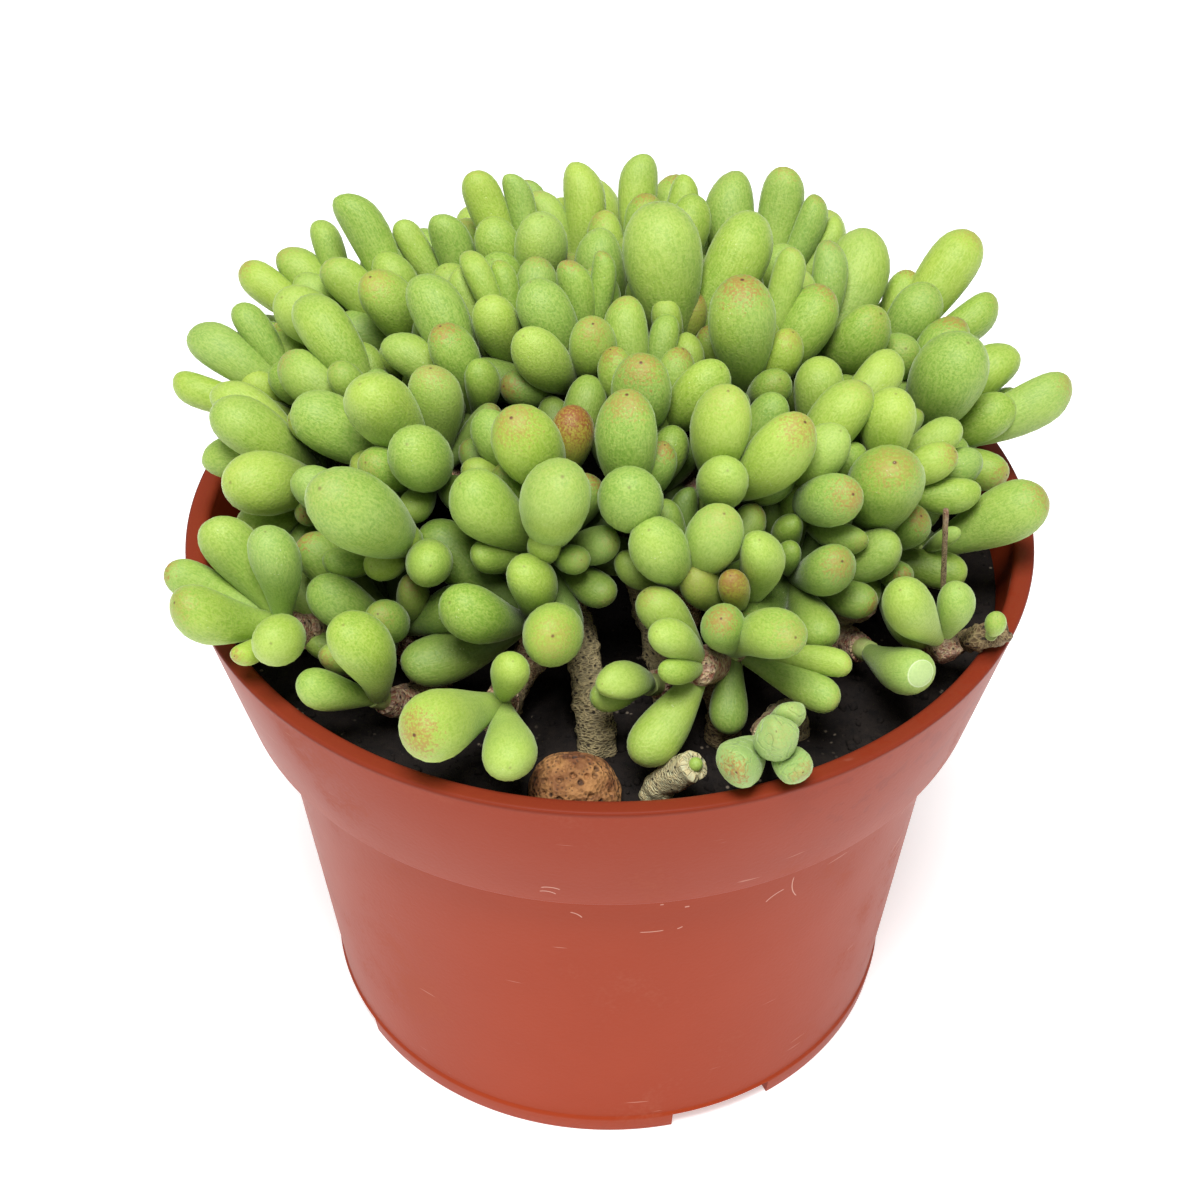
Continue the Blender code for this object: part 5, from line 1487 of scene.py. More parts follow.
def shoot_tree():
    tree, given = geometry_tree("leafy_shoot", Sides=10.0, Rings=9.0, Neck_Sides=12.0)
    ball = add(tree, "GeometryNodeMeshUVSphere", {}, {"Segments": given["Sides"], "Rings": given["Rings"]})
    x, y, z = parts_of(add(tree, "GeometryNodeInputPosition"))
    along = z * 0.5 + 0.5
    ring = (1 - z * z).math("MAXIMUM", 0.0).math("SQRT").math("MAXIMUM", 0.001)
    share = add(tree, "ShaderNodeFloatCurve", {"curve": LEAF_PROFILE}, {"Value": along}) / ring
    egg_place = vector_of(tree, x * share, y * share, along)
    egg = add(tree, "GeometryNodeSetPosition", {}, {"Geometry": ball, "Position": egg_place})
    egg = keep_as(egg, "leaf_place", add(tree, "GeometryNodeInputPosition"), "FLOAT_VECTOR")
    inputs = {"Points": given["Geometry"], "Instance": egg, "Selection": named(tree, "is_leaf")}
    inputs["Rotation"] = named(tree, "turn", "FLOAT_VECTOR")
    inputs["Scale"] = named(tree, "size", "FLOAT_VECTOR")
    leaves = add(tree, "GeometryNodeInstanceOnPoints", {}, inputs)
    leaves = add(tree, "GeometryNodeRealizeInstances", {}, {"Geometry": leaves})
    along = parts_of(named(tree, "leaf_place", "FLOAT_VECTOR"))[2]
    sag = named(tree, "sag") * along * (along - 0.8)
    leaves = shifted(leaves, named(tree, "bend_way", "FLOAT_VECTOR").move("SCALE", sag))
    past = (along - LEAF_MARK).math("MAXIMUM", 0.0)
    leaves = shifted(leaves, named(tree, "spare", "FLOAT_VECTOR").move("SCALE", past * -1.0))
    cut = (along - LEAF_CUT).math("MAXIMUM", 0.0) * named(tree, "blunt")
    leaves = shifted(leaves, named(tree, "reach", "FLOAT_VECTOR").move("SCALE", cut * -1.0))
    place = add(tree, "GeometryNodeInputPosition")
    leaves = shifted(leaves, wobble(tree, place, 210.0).move("SCALE", named(tree, "wrinkle")))
    leaves = add(tree, "GeometryNodeSubdivisionSurface", {}, {"Mesh": leaves, "Level": 1})
    woody = named(tree, "woody")
    dried = add(tree, "GeometryNodeMeshToCurve", {}, {"Mesh": given["Geometry"], "Selection": woody})
    dried = bark_section(tree, dried, 20, 0.0003, 0.0009)
    necks = add(tree, "GeometryNodeMeshToCurve", {}, {"Mesh": given["Geometry"], "Selection": 1 - woody})
    necks = tube_along(tree, necks, ring_of(tree, given["Neck_Sides"]))
    necks = shifted(necks, wobble(tree, place, 900.0).move("SCALE", 0.0006))
    inputs = {"Geometry": [dressed(leaves, leaf_skin), dressed(necks, neck_skin), dried]}
    end_tree(tree, add(tree, "GeometryNodeJoinGeometry", {}, inputs))
    return tree


leafy_shoot = shoot_tree()
print("leafy shoot tree:", len(leafy_shoot.nodes), "nodes")


# %% [markdown]
# ## The looks of each leaf
# No two leaves are quite alike. The photograph gives the few that are orange, blunt, grey
# or wrinkled. All other differences come from one seeded draw.

# %% Numbers for each leaf
ORANGE_LEAVES = {
    (745, 597): 0.75,
    (573, 428): 0.95,
    (691, 309): 0.45,
    (701, 586): 0.3,
    (350, 573): 0.35,
    (413, 592): 0.25,
}
BLUNT_LEAVES = {(915, 662): 1.0, (655, 745): 0.15, (818, 688): 0.1}
WRINKLED_SHOOTS = {"rim_shoot": 0.0042, "twin": 0.0012}
GREY_SHOOTS = {"rim_shoot": 1.0, "twin": 0.35, "right_low": 0.45}
LEAF_SWELL = 1.12
LEAF_SWELL_UNMARKED = 1.17
LEAF_ROUND = (1.14, 0.310)
LEAF_FLAT = 0.95
LOOKS_SEED = 5
NECK_OVERLAP = 0.0006
SCARRED_KNOB = 0.0038
looks = np.random.default_rng(LOOKS_SEED)
marked = [(x, y) for mark, leaves in SHOOT_MARKS.values() for x, y, half in leaves]


def smooth_path(points, step):
    """Points about one step apart, on a smooth curve through the given ones."""
    points = np.asarray(points, float)
    ends = (2 * points[:1] - points[1:2], points, 2 * points[-1:] - points[-2:-1])
    run = np.concatenate(ends)
    path = []
    for a, b, c, d in zip(run, run[1:], run[2:], run[3:]):
        count = max(1, round(np.linalg.norm(c - b) / step))
        for t in np.arange(count) / count:
            cubic = (3 * b - a - 3 * c + d) * t ** 3
            path.append(0.5 * (2 * b + (c - a) * t + (2 * a - 5 * b + 4 * c - d) * t * t + cubic))
    return np.array(path + [points[-1]])


def drop_layers(piece, names):
    """Take the numbers that only the tree needed off the finished mesh."""
    for label in names.split():
        if label in piece.data.attributes:
            piece.data.attributes.remove(piece.data.attributes[label])


def leaf_numbers(k):
    """What the tree needs to know of one leaf, as a row of numbers."""
    i = plant.owner[k]
    run = (plant.ends[k] - plant.tips[i]) / LEAF_MARK
    length = np.linalg.norm(run)
    way, lean = run / length, plant.lean(i)
    round_end = beyond(LEAF_ROUND, length * LEAF_MARK, plant.half[k]) / (1 - LEAF_MARK)
    up = lean - way * (lean @ way)
    if np.linalg.norm(up) < 0.1:
        up = np.array((0.0, 0.0, 1.0)) - way * way[2]
    up = unit(up)
    turn = Matrix(np.stack([np.cross(up, way), up, way], axis=1).tolist()).to_euler()
    half = plant.half[k]
    swell = LEAF_SWELL if k < len(marked) else LEAF_SWELL_UNMARKED
    orange = ORANGE_LEAVES.get(marked[k], 0.0) if k < len(marked) else 0.0
    blunt = BLUNT_LEAVES.get(marked[k], 0.0) if k < len(marked) else 0.0
    cut_off = blunt > 0.5
    return {
        "place": plant.tips[i],
        "turn": tuple(turn),
        "size": (half * swell, half * swell * LEAF_FLAT, length),
        "bend_way": up,
        "reach": run,
        "spare": way * max(0.0, length - round_end),
        "blunt": blunt,
        "sag": length * looks.uniform(0.10, 0.36),
        "wrinkle": half * 0.10 + WRINKLED_SHOOTS.get(plant.names[i], 0.0),
        "grey": max(looks.uniform(0.0, 0.25), GREY_SHOOTS.get(plant.names[i], 0.0)),
        "tint": looks.uniform(0.0, 1.0),
        "blush": max(0.0, looks.uniform(-0.75, 1.0)) * (not cut_off),
        "bloom": looks.uniform(0.0, 1.0),
        "orange": orange,
    }


def neck_chains(sprig, route):
    """A shoot's green necks and dried tips: two ends, two radii, two ages and 1 for wood."""
    start = route[-1]
    way = neck_way(plant, sprig, start)
    runs = []
    low = start - way * NECK_OVERLAP
    if len(sprig) > 1:
        fork = start + way * FORK_START
        high = fork + way * NECK_OVERLAP
        runs.append((low, high, NECK_RADIUS * 1.10, NECK_RADIUS * 1.05, 1.0, 0.5, 1.0))
        low = fork
    for i in sprig:
        tip = plant.tips[i]
        if plant.names[i] == "rim_bud":
            short = bud_way() * 0.0012
            runs.append((tip - short, tip + short, 0.0010, 0.0009, 0.6, 0.3, 0.0))
            continue
        age = 0.95 if low is not start and len(sprig) == 1 else 0.5
        if plant.names[i] == "scarred":
            high = tip + unit(tip - low) * SCARRED_KNOB
            runs.append((low, high, NECK_RADIUS * 1.35, NECK_RADIUS * 1.25, 0.95, 1.0, 1.0))
        runs.append((low, low + (tip - low) * 0.80, NECK_RADIUS, NECK_RADIUS * 0.95, age, 0.5, 1.0))
        green, high = low + (tip - low) * 0.6, tip + unit(tip - low) * NECK_END
        runs.append((green, high, NECK_RADIUS * 0.8, NECK_RADIUS * 0.7, 0.6, 0.1, 0.0))
    for index, start, end, radius in dry_tips(plant).values():
        if index in sprig:
            runs.append((start, end, radius * 1.02, radius * 0.92, 1.0, 1.0, 1.0))
    return runs


NO_LEAF = {
    "turn": (0, 0, 0),
    "size": (1, 1, 1),
    "bend_way": (0, 0, 1),
    "reach": (0, 0, 1),
    "spare": (0, 0, 0),
}
TREE_NUMBERS = "thick relief shift run around"


def make_shoot(name, sprig, route):
    """One leafy shoot or fork: a point for each leaf and a chain for each neck."""
    rows = [leaf_numbers(k) for i in sprig for k in np.nonzero(plant.owner == i)[0]]
    points = [row.pop("place") for row in rows]
    for row in rows:
        row.update(is_leaf=1.0, thick=0.0, age=0.0, woody=0.0, young=0.0, pale=0.0, relief=0.0, shift=0.0)
    edges = []
    for low, high, wide, narrow, old, fresh, wood in neck_chains(sprig, route):
        count = 22 if wood else 7
        for t in np.linspace(0.0, 1.0, count):
            points.append(low + (high - low) * t)
            row = {key: NO_LEAF.get(key, 0.0) for key in rows[0]}
            row.update(thick=wide + (narrow - wide) * t, age=old + (fresh - old) * t, woody=wood)
            row.update(young=min(1.0, 0.25 + 1.2 * t) * wood, relief=wood)
            rows.append(row)
        if wood:
            rows[-1]["thick"] = narrow * 0.72
        edges += [(len(points) - count + j, len(points) - count + j + 1) for j in range(count - 1)]
    values = {key: np.array([row[key] for row in rows]) for key in rows[0]}
    shoot = grown(name, point_mesh(name, points, edges, **values), leafy_shoot)
    drop_layers(shoot, "turn size bend_way reach spare sag wrinkle is_leaf woody " + TREE_NUMBERS)
    settle(shoot, name)
    shoot.name = name + "_fine"
    return len(shoot.data.polygons)


faces = [make_shoot("leaves_" + plant.names[s[0]], s, r) for s, r in zip(sprigs, routes)]
print("leafy shoots:", len(faces), "pieces,", sum(faces), "faces, largest", max(faces))


# %% [markdown]
# ## The stems
# Every stem rises from its hole in the soil and branches to its shoots. The branches
# follow their eased routes as smooth curves and end in a rounded edge, also where one
# was cut off. The thin stalk of an old flower is the straightest of them.

# %% The stems
bark_tube = bark_tree()
STEM_STEP = 0.00045
STUB_BUD_RISE = 0.0006
STUB_BUD_RADIUS = 0.0011
THIN_STALK = 0.001


def branch_rows(path, radii, young=0.0, relief=1.0):
    """Points along a branch with their radius; its end is closed by a rounded edge."""
    line = smooth_path(path, STEM_STEP)
    share = np.linspace(0.0, 1.0, len(line))
    thick = np.interp(share, np.linspace(0.0, 1.0, len(radii)), radii)
    way = unit(line[-1] - line[-2])
    line = np.concatenate([line, [line[-1] + way * 0.00012, line[-1] + way * 0.0002]])
    thick = np.concatenate([thick, [thick[-1] * 0.93, thick[-1] * 0.70]])
    redder = np.concatenate([np.clip((share - 0.72) * 3.2, 0.0, 1.0), [1.0, 1.0]]) * young
    return line, thick, redder, np.full(len(line), relief)


def make_wood(name, branches):
    """One piece of wood out of its branches."""
    points, edges, thick, young, relief, shift = [], [], [], [], [], []
    pale = 0.9 if name == "cut_stub" else looks.uniform(0.0, 0.35)
    for number, (line, wide, red, rough) in enumerate(branches):
        first = len(points)
        points += list(line)
        edges += [(first + j, first + j + 1) for j in range(len(line) - 1)]
        thick += list(wide)
        young += list(red)
        relief += list(rough)
        shift += [0.037 * number] * len(line)
    pale = [pale] * len(points)
    mesh = point_mesh(name, points, edges, thick=thick, young=young, relief=relief, shift=shift, pale=pale)
    wood = grown(name, mesh, bark_tube)
    drop_layers(wood, TREE_NUMBERS)
    settle(wood, name)
    wood.name = name + "_fine"
    return len(wood.data.polygons)


def add_bud(wood, place, radius):
    """A tiny green bud, fused to the mesh of the sawn stub."""
    wood.data.materials.append(leaf_skin)
    mesh = bmesh.new()
    mesh.from_mesh(wood.data)
    old = set(mesh.faces)
    seat = Matrix.Translation(place)
    bmesh.ops.create_uvsphere(mesh, u_segments=16, v_segments=10, radius=radius, matrix=seat)
    for face in mesh.faces:
        if face not in old:
            face.material_index = 1
            face.smooth = True
    mesh.to_mesh(wood.data)
    mesh.free()


def stem_branches(stem, foot):
    """All branches of a stem: up from its foot, and its cut ends."""
    low = np.array([*foot, SOIL_TOP - HOLE_DEPTH + TOUCH_GAP])
    base = np.array([*foot, SOIL_TOP])
    rows = []
    mine = [k for k, sprig in enumerate(sprigs) if carried[plant.names[sprig[0]]] == stem]
    for k in mine:
        over_rim = plant.names[sprigs[k][0]] == "rim_bud"
        path, narrow = list(routes[k]), RIM_STEM_RADIUS if over_rim else WOOD_TIP
        wide = [WOOD_FOOT * 0.92, narrow * 0.96, narrow * 0.96]
        if over_rim:
            wide = [WOOD_FOOT * 0.92] + [narrow * 0.96] * 4
        if roots[k] is None:
            path = [low, base] + path[1:]
            wide = [WOOD_FOOT * 0.96] + wide
        rows.append(branch_rows(path, wide, 0.15 if over_rim else 0.9))
    for name, (k, start, end, radius) in stubs.items():
        if k in mine:
            thin = radius < THIN_STALK
            wide = radius * 0.6 if thin else radius * 0.95
            rows.append(branch_rows([start, end], [wide, wide], 1.0, 0.12 if thin else 0.7))
    return rows


faces = [make_wood(stem, stem_branches(stem, foot)) for stem, (foot, names) in STEM_FEET.items()]
low = (*CUT_STUB_FOOT, SOIL_TOP - HOLE_DEPTH + TOUCH_GAP)
middle = (*CUT_STUB_FOOT, SOIL_TOP + FOOT_COLLAR)
stub = branch_rows([low, middle, CUT_STUB_END], [CUT_STUB_RADIUS] * 3, 0.0, 0.8)
faces.append(make_wood("cut_stub", [stub]))
bud = np.array(CUT_STUB_END) + unit(np.array(CUT_STUB_END) - np.array(middle)) * STUB_BUD_RISE
add_bud(bpy.data.objects["cut_stub_fine"], bud, STUB_BUD_RADIUS)
print("wood:", len(faces), "pieces,", sum(faces), "faces, largest", max(faces))


# %% [markdown]
# ## The pot
# The pot is moulded from terracotta-red plastic. Its collar is darkened a little by painted
# shade, its rim by a darker painted shade, and a thin painted highlight runs along the
# collar's lower edge. It has a damp smudge at one side, fine scratches and dust.

# %% Pot plastic
TERRACOTTA = (0.315, 0.042, 0.0120)
WORN_TERRACOTTA = (0.260, 0.033, 0.0095)
COLLAR_PAINTED_SHADE = (0.235, 0.027, 0.0065)
RIM_PAINTED_SHADE = (0.185, 0.027, 0.012)
DAMP_RED = (0.20, 0.022, 0.007)
DUST = (0.55, 0.30, 0.22)
EDGE_SHINE = (0.62, 0.24, 0.15)
SCRATCH_PINK = (0.78, 0.50, 0.40)
SCRAPE_PINK = (0.72, 0.42, 0.33)
# Each scratch: its middle and the centre of its curve (x, z), half its length and width
SCRATCHES = (
    ((-0.0091, 0.0765), (-0.0092, 0.0735), 0.0016, 0.00013),
    ((-0.0095, 0.0752), (-0.0098, 0.0730), 0.0014, 0.00012),
    ((-0.0052, 0.0636), (-0.0065, 0.0616), 0.0012, 0.00014),
    ((0.0066, 0.0587), (0.0066, 0.0787), 0.0020, 0.00012),
    ((0.0262, 0.0611), (0.0285, 0.0570), 0.0018, 0.00013),
    ((0.0292, 0.0610), (0.0372, 0.0620), 0.0030, 0.00010),
    ((0.0121, 0.0643), (0.0121, 0.0623), 0.0004, 0.00018),
    ((0.0111, 0.0589), (0.0101, 0.0609), 0.0005, 0.00014),
    ((0.0081, 0.0657), (0.0081, 0.0637), 0.0003, 0.00014),
)


def arc_mark(x, z, middle, centre, half_length, half_width):
    """1 on a fine curved scratch: part of a circle round centre, within reach of its middle."""
    radius = math.dist(middle, centre)
    from_centre = ((x - centre[0]) ** 2 + (z - centre[1]) ** 2).math("SQRT")
    off_line = (from_centre - radius).math("ABSOLUTE")
    off_middle = ((x - middle[0]) ** 2 + (z - middle[1]) ** 2).math("SQRT")
    near = 1 - off_middle.clamp(half_length * 0.8, half_length)
    return (1 - off_line.clamp(half_width * 0.5, half_width)) * near


def pot_finish():
    made, tree, shader, place = new_finish("pot_plastic", Specular_IOR_Level=0.09)
    x, y, z = parts_of(place)
    cloud = noise(tree, place, 38.0, 5.0, 0.6)
    grain = noise(tree, place, 1300.0, 3.0)
    skin = mixed((cloud - 0.35) * 0.9, TERRACOTTA, WORN_TERRACOTTA)
    # Painted shade: the collar band is painted darker than the body.
    skin = mixed(z.clamp(0.066, 0.078) * 0.45, skin, COLLAR_PAINTED_SHADE)
    # Painted shade: the top of the rim is painted darker.
    rim = z.clamp(POT_HEIGHT - 0.0013, POT_HEIGHT - 0.0005)
    skin = mixed(rim * 0.85, skin, RIM_PAINTED_SHADE)
    side = x.clamp(0.020, 0.042) * z.clamp(0.074, 0.082) * (1 - y.clamp(-0.020, 0.0))
    smudge = noise(tree, place, 230.0, 3.0, 0.7).clamp(0.52, 0.60) * side
    skin = mixed(smudge * 0.45, skin, DAMP_RED)
    dust = (cloud + grain * 0.3).clamp(0.72, 0.92) * (1 - rim)
    skin = mixed(dust * 0.10, skin, DUST)
    # Painted highlight: a thin pale line along the collar's lower edge.
    edge = z.math("COMPARE", POT_HEIGHT - COLLAR_DEPTH, 0.0003)
    skin = mixed(edge * 0.35, skin, EDGE_SHINE)
    marks = z * 0.0
    for mark in SCRATCHES:
        marks = marks.math("MAXIMUM", arc_mark(x, z, *mark))
    skin = mixed(marks * (1 - y.clamp(-0.04, -0.03)) * 0.55, skin, SCRATCH_PINK)
    scrape = vector_of(tree, x * 90.0, y * 90.0, z * 1300.0)
    worn = noise(tree, place, 75.0, 1.0).clamp(0.58, 0.66)
    lines = noise(tree, scrape, 1.0, 1.0).clamp(0.70, 0.74) * worn
    skin = mixed(lines * 0.30, skin, SCRAPE_PINK)
    feed(shader, "Base Color", skin)
    feed(shader, "Roughness", 0.33 + cloud * 0.12 + dust * 0.2)
    feed(shader, "Normal", raised(tree, grain + lines, 0.10, 0.0003))
    return made


pot_plastic = pot_finish()


# %% [markdown]
# ## The pot's body
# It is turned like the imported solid, in many more steps and with its edges rounded. The
# profile runs from the middle of the floor's underside over the foot ring, up the outside,
# over the rim and down the inside. Then four notches and eight drain holes are cut.

# %% Turning the pot
FINE_SIDES = 224


def rounded(profile, corners, steps=4):
    """The profile with some of its corners cut to small arcs, by index and radius."""
    line = []
    for k, here in enumerate(profile):
        if k not in corners:
            line.append(here)
            continue
        here = np.array(here)
        before, after = np.array(profile[k - 1]), np.array(profile[k + 1])
        a = here + unit(before - here) * corners[k]
        b = here + unit(after - here) * corners[k]
        for t in np.linspace(0.0, 1.0, steps + 1):
            line.append(tuple(a * (1 - t) ** 2 + here * 2 * t * (1 - t) + b * t ** 2))
    return line


def pot_profile():
    collar = POT_HEIGHT - COLLAR_DEPTH
    shelf = collar + WALL
    floor_top = FOOT_HEIGHT + FLOOR_THICKNESS
    inner_foot = FOOT_RADIUS - 1.2 * WALL
    corners = {2: 0.0004, 3: 0.0004, 4: 0.0003, 5: 0.0002, 6: 0.001, 7: 0.0004, 8: 0.0004, 9: 0.0004}
    corners.update({10: 0.0012, 12: 0.0008, 13: 0.001})
    profile = [
        (0.0, FOOT_HEIGHT),
        (inner_foot, FOOT_HEIGHT),
        (inner_foot, 0.0),
        (FOOT_RADIUS, 0.0),
        (FOOT_RADIUS + FOOT_LIP, FOOT_HEIGHT),
        (FOOT_RADIUS + FOOT_LIP * 0.2, FOOT_HEIGHT + FOOT_LIP),
        (wall_radius(collar), collar),
        (COLLAR_BOTTOM_RADIUS, collar + RIM_ROUND * 0.3),
        (POT_RIM_RADIUS, POT_HEIGHT - RIM_ROUND * 0.8),
        (POT_RIM_RADIUS - RIM_ROUND * 0.6, POT_HEIGHT),
        (POT_RIM_RADIUS - LIP_WIDTH, POT_HEIGHT - RIM_ROUND * 0.5),
        (inner_radius(POT_HEIGHT - LIP_DEPTH), POT_HEIGHT - LIP_DEPTH),
        (inner_radius(shelf), shelf),
        (wall_radius(shelf) - WALL, shelf),
        (inner_radius(floor_top), floor_top),
        (0.0, floor_top),
    ]
    return rounded(profile, corners)


def fine_pot():
    body = turned("pot_body", pot_profile(), FINE_SIDES)
    cutters = []
    for k in range(NOTCH_COUNT):
        turn = NOTCH_TURN + 2.0 * math.pi * k / NOTCH_COUNT
        bpy.ops.mesh.primitive_cube_add(size=1.0)
        box = bpy.context.object
        box.data.transform(Matrix.Diagonal((NOTCH_DEPTH, NOTCH_WIDTH, 2.0 * FOOT_HEIGHT - 0.0002, 1.0)))
        place = Vector((FOOT_RADIUS * math.cos(turn), FOOT_RADIUS * math.sin(turn), 0.0))
        box.data.transform(Matrix.Translation(place) @ Matrix.Rotation(turn, 4, "Z"))
        cutters.append(box)
    for k in range(DRAIN_COUNT):
        turn = 2.0 * math.pi * (k + 0.5) / DRAIN_COUNT
        bpy.ops.mesh.primitive_cylinder_add(vertices=32, radius=DRAIN_RADIUS, depth=4.0 * FLOOR_THICKNESS)
        hole = bpy.context.object
        place = (DRAIN_CIRCLE * math.cos(turn), DRAIN_CIRCLE * math.sin(turn), FOOT_HEIGHT)
        hole.data.transform(Matrix.Translation(place))
        cutters.append(hole)
    pot = cut_out(body, cutters, "pot_turned", pot_plastic)
    pot.data.shade_smooth()
    pot.data.set_sharp_from_angle(angle=math.radians(40))
    settle(pot, "pot")
    return pot


pot = fine_pot()
print("pot:", len(pot.data.polygons), "faces")


# %% [markdown]
# ## The soil
# Dark peat fills the pot to a centimetre below the rim. Its top is uneven, and crumbs of
# all sizes lie on it. A turned body is raised by noise, and a tree scatters the crumbs.

# %% Soil
WET_PEAT = (0.004, 0.003, 0.003)
DRY_PEAT = (0.034, 0.024, 0.018)
PALE_GRIT = (0.24, 0.195, 0.145)
SOIL_STEPS = 75
SOIL_SIDES = 180
CRUMB_SIZES = (0.00022, 0.0011)


def soil_finish():
    made, tree, shader, place = new_finish("peat", Specular_IOR_Level=0.25)
    lump = noise(tree, place, 420.0, 5.0, 0.7)
    grit = dots(tree, place, 620.0, 0.10, 0.22) * noise(tree, place, 130.0, 1.0).clamp(0.55, 0.70)
    skin = mixed((lump - 0.3) * 1.2, WET_PEAT, DRY_PEAT)
    skin = mixed(grit * 0.8, skin, PALE_GRIT)
    feed(shader, "Base Color", skin)
    feed(shader, "Roughness", 0.85 + lump * 0.15)
    feed(shader, "Normal", raised(tree, lump, 0.8, 0.001))
    return made


peat = soil_finish()


def soil_tree():
    tree, given = geometry_tree("crumbly_soil", Top=SOIL_TOP, Density=260000.0, Seed=3.0)
    place = add(tree, "GeometryNodeInputPosition")
    x, y, z = parts_of(place)
    edge = 1 - (x * x + y * y).math("SQRT").clamp(0.060, 0.0655)
    on_top = z.math("GREATER_THAN", given["Top"] - 0.0004)
    rise = (noise(tree, place, 110.0, 5.0, 0.62) - 0.5) * 0.0046 * edge * on_top
    body = shifted(given["Geometry"], vector_of(tree, 0.0, 0.0, rise))
    inputs = {"Mesh": body, "Selection": on_top, "Density": given["Density"], "Seed": given["Seed"]}
    spots = add(tree, "GeometryNodeDistributePointsOnFaces", {}, inputs)
    crumb = add(tree, "GeometryNodeMeshIcoSphere", {}, {"Radius": 1.0, "Subdivisions": 1})
    inputs = {"Min": 0.1, "Max": 1.0, "Seed": 4}
    draw = add(tree, "FunctionNodeRandomValue", {"data_type": "FLOAT"}, inputs, 1)
    wide = draw ** 4.0 * CRUMB_SIZES[1] + CRUMB_SIZES[0]
    inputs = {"Max": (6.3, 6.3, 6.3), "Seed": 5}
    tumble = add(tree, "FunctionNodeRandomValue", {"data_type": "FLOAT_VECTOR"}, inputs)
    flat = vector_of(tree, wide, wide * 0.75, wide * 0.6)
    inputs = {"Points": spots, "Instance": crumb, "Rotation": tumble, "Scale": flat}
    crumbs = add(tree, "GeometryNodeInstanceOnPoints", {}, inputs)
    crumbs = add(tree, "GeometryNodeRealizeInstances", {}, {"Geometry": crumbs})
    crumbs = shifted(crumbs, wobble(tree, place, 1500.0, 1.0).move("SCALE", 0.0005))
    whole = add(tree, "GeometryNodeJoinGeometry", {}, {"Geometry": [body, crumbs]})
    end_tree(tree, dressed(whole, peat))
    return tree


def fine_soil():
    low = FOOT_HEIGHT + FLOOR_THICKNESS + TOUCH_GAP
    shelf = POT_HEIGHT - COLLAR_DEPTH + WALL
    profile = [
        (0.0, low),
        (inner_radius(low) - TOUCH_GAP, low),
        (wall_radius(shelf) - WALL - TOUCH_GAP, shelf + TOUCH_GAP),
        (inner_radius(shelf) - TOUCH_GAP, shelf + TOUCH_GAP),
        (inner_radius(SOIL_TOP) - TOUCH_GAP, SOIL_TOP),
    ]
    edge = profile[-1][0]
    profile += [(edge * (1 - j / SOIL_STEPS), SOIL_TOP) for j in range(1, SOIL_STEPS)] + [(0.0, SOIL_TOP)]
    body = turned("soil_body", profile, SOIL_SIDES)
    soil = grown("soil_crumbly", body.data, soil_tree())
    bpy.data.objects.remove(body)
    settle(soil, "soil")
    return soil


soil = fine_soil()
print("soil:", len(soil.data.polygons), "faces")


# %% [markdown]
# ## The pebble
# A brown-orange pebble lies at the front, pitted all over like a volcanic stone.

# %% Pebble
PIT_CELL = 640.0
STONE_BROWN = (0.16, 0.055, 0.016)
STONE_ORANGE = (0.38, 0.18, 0.060)
PIT_SHADE = (0.030, 0.013, 0.008)
SMALL_PIT_SHADE = (0.060, 0.026, 0.012)


def pebble_finish():
    made, tree, shader, place = new_finish("pitted_stone")
    small = cells(tree, place, 1500.0)
    cloud = noise(tree, place, 240.0, 4.0, 0.6)
    skin = mixed(cloud.clamp(0.35, 0.65), STONE_BROWN, STONE_ORANGE)
    skin = mixed(dots(tree, place, PIT_CELL, 0.16, 0.42) * 0.90, skin, PIT_SHADE)
    skin = mixed((1 - small.clamp(0.14, 0.34)) * 0.7, skin, SMALL_PIT_SHADE)
    feed(shader, "Base Color", skin)
    feed(shader, "Roughness", 0.75 + cloud * 0.15)
    feed(shader, "Normal", raised(tree, small + cloud * 0.5, 0.6, 0.0006))
    return made


stone = pebble_finish()


def pebble_tree():
    tree, given = geometry_tree("pitted_pebble", Pit_Depth=0.0007)
    place = add(tree, "GeometryNodeInputPosition")
    pits = cells(tree, place, PIT_CELL).clamp(0.10, 0.42) * given["Pit_Depth"]
    lump = (noise(tree, place, 260.0, 3.0) - 0.5) * 0.0012
    normal = add(tree, "GeometryNodeInputNormal")
    body = shifted(given["Geometry"], normal.move("SCALE", pits + lump - given["Pit_Depth"]))
    body = add(tree, "GeometryNodeRealizeInstances", {}, {"Geometry": body})
    end_tree(tree, dressed(body, stone))
    return tree


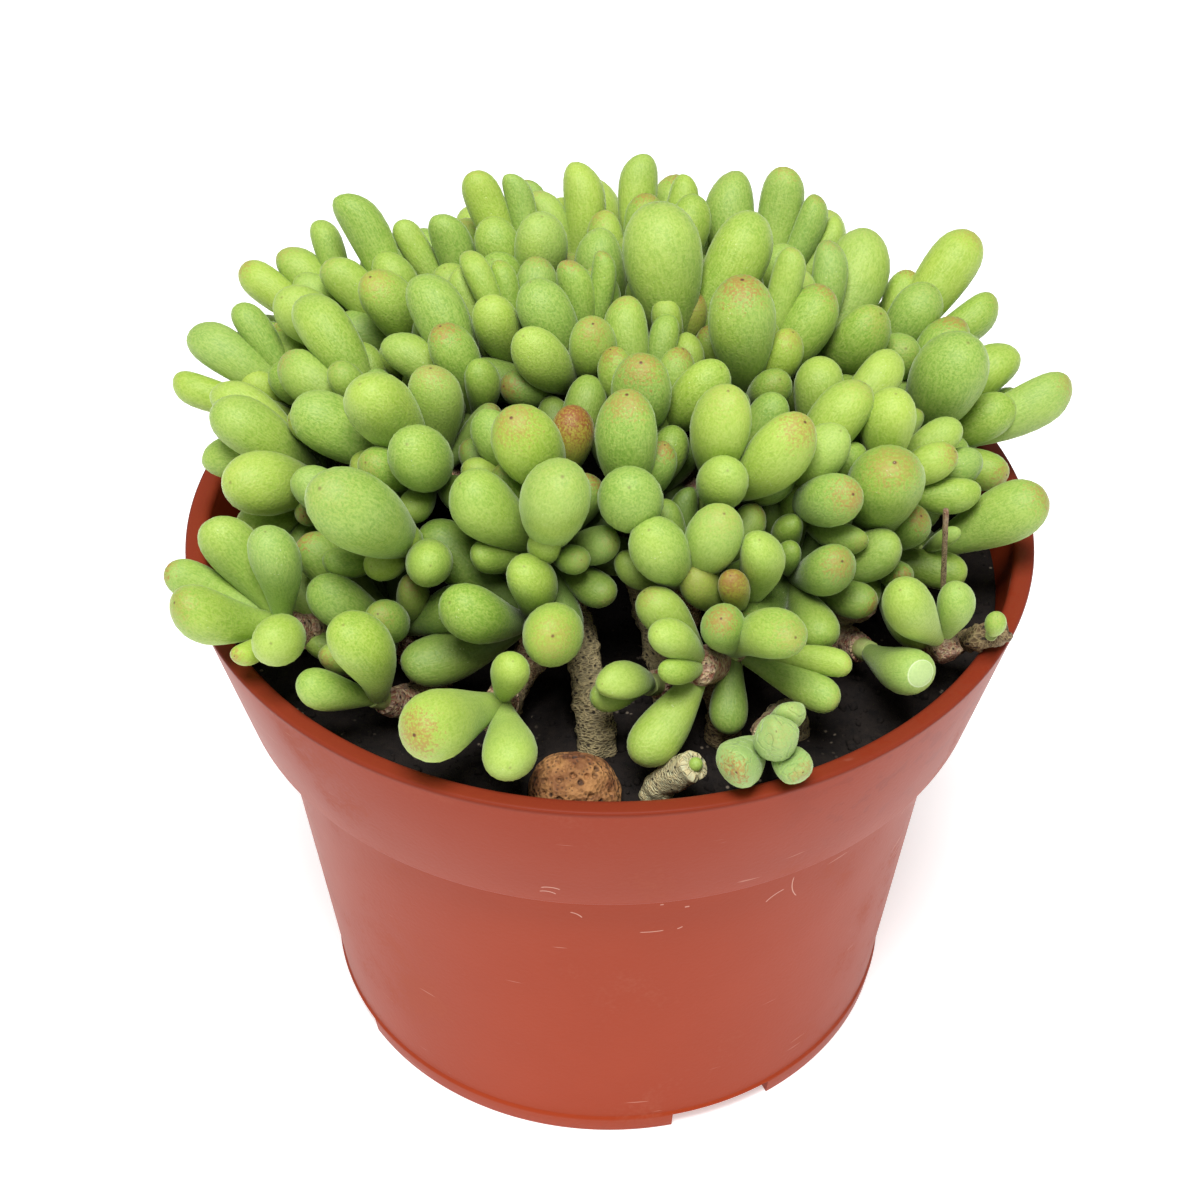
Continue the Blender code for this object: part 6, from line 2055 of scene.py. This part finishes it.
def fine_pebble():
    mesh = bmesh.new()
    bmesh.ops.create_icosphere(mesh, subdivisions=6, radius=1.0)
    for v in mesh.verts:
        x, y, z = v.co
        swell = 1.0 + 0.05 * math.sin(3.1 * x + 1.0) * math.cos(2.3 * y) + 0.03 * math.sin(5.0 * z + 2.0 * x)
        height = SOIL_TOP + PEBBLE_HALF[2] * 0.18 + z * swell * PEBBLE_HALF[2] * 0.8
        wide = swell * 1.02
        v.co = (PEBBLE_AT[0] + x * wide * PEBBLE_HALF[0], PEBBLE_AT[1] + y * wide * PEBBLE_HALF[1], height)
    body = bpy.data.meshes.new("pebble_body")
    mesh.to_mesh(body)
    mesh.free()
    pebble = grown("pebble_pitted", body, pebble_tree())
    settle(pebble, "pebble")
    return pebble


pebble = fine_pebble()
print("pebble:", len(pebble.data.polygons), "faces")


# %% [markdown]
# ## The studio
# The photograph was cut out on white: the floor and the backdrop are one even, pale
# surface, with only a faint soft shadow under the pot. One soft lamp hangs high over the
# front, a little to the left, and the pale surroundings light the rest.

# %% Floor and light
FLOOR_HALF = 4.0
floor_finish = new_finish(
    "pale_floor",
    Base_Color=(0.93, 0.93, 0.93, 1.0),
    Roughness=0.9,
    Specular_IOR_Level=0.0,
    Emission_Color=(1.0, 1.0, 1.0, 1.0),
    Emission_Strength=0.46,
)[0]
corners = [(x * FLOOR_HALF, y * FLOOR_HALF, 0.0) for x, y in ((-1, -1), (1, -1), (1, 1), (-1, 1))]
floor = mesh_object("floor", corners, [(0, 1, 2, 3)], floor_finish)

world = bpy.data.worlds.new("pale_surroundings")
world.use_nodes = True
surroundings = world.node_tree.nodes["Background"]
surroundings.inputs["Color"].default_value = (1.0, 1.0, 1.0, 1.0)
surroundings.inputs["Strength"].default_value = 0.375
scene.world = world


def lamp(name, place, aim, size, power):
    """A square soft lamp that faces a point."""
    light = bpy.data.lights.new(name, "AREA")
    light.size = size
    light.energy = power
    made = bpy.data.objects.new(name, light)
    made.location = place
    made.rotation_euler = (Vector(aim) - Vector(place)).to_track_quat("-Z", "Y").to_euler()
    scene.collection.objects.link(made)


lamp("key", (-0.04, -0.40, 1.10), (0.0, 0.0, 0.08), 0.46, 16.2)
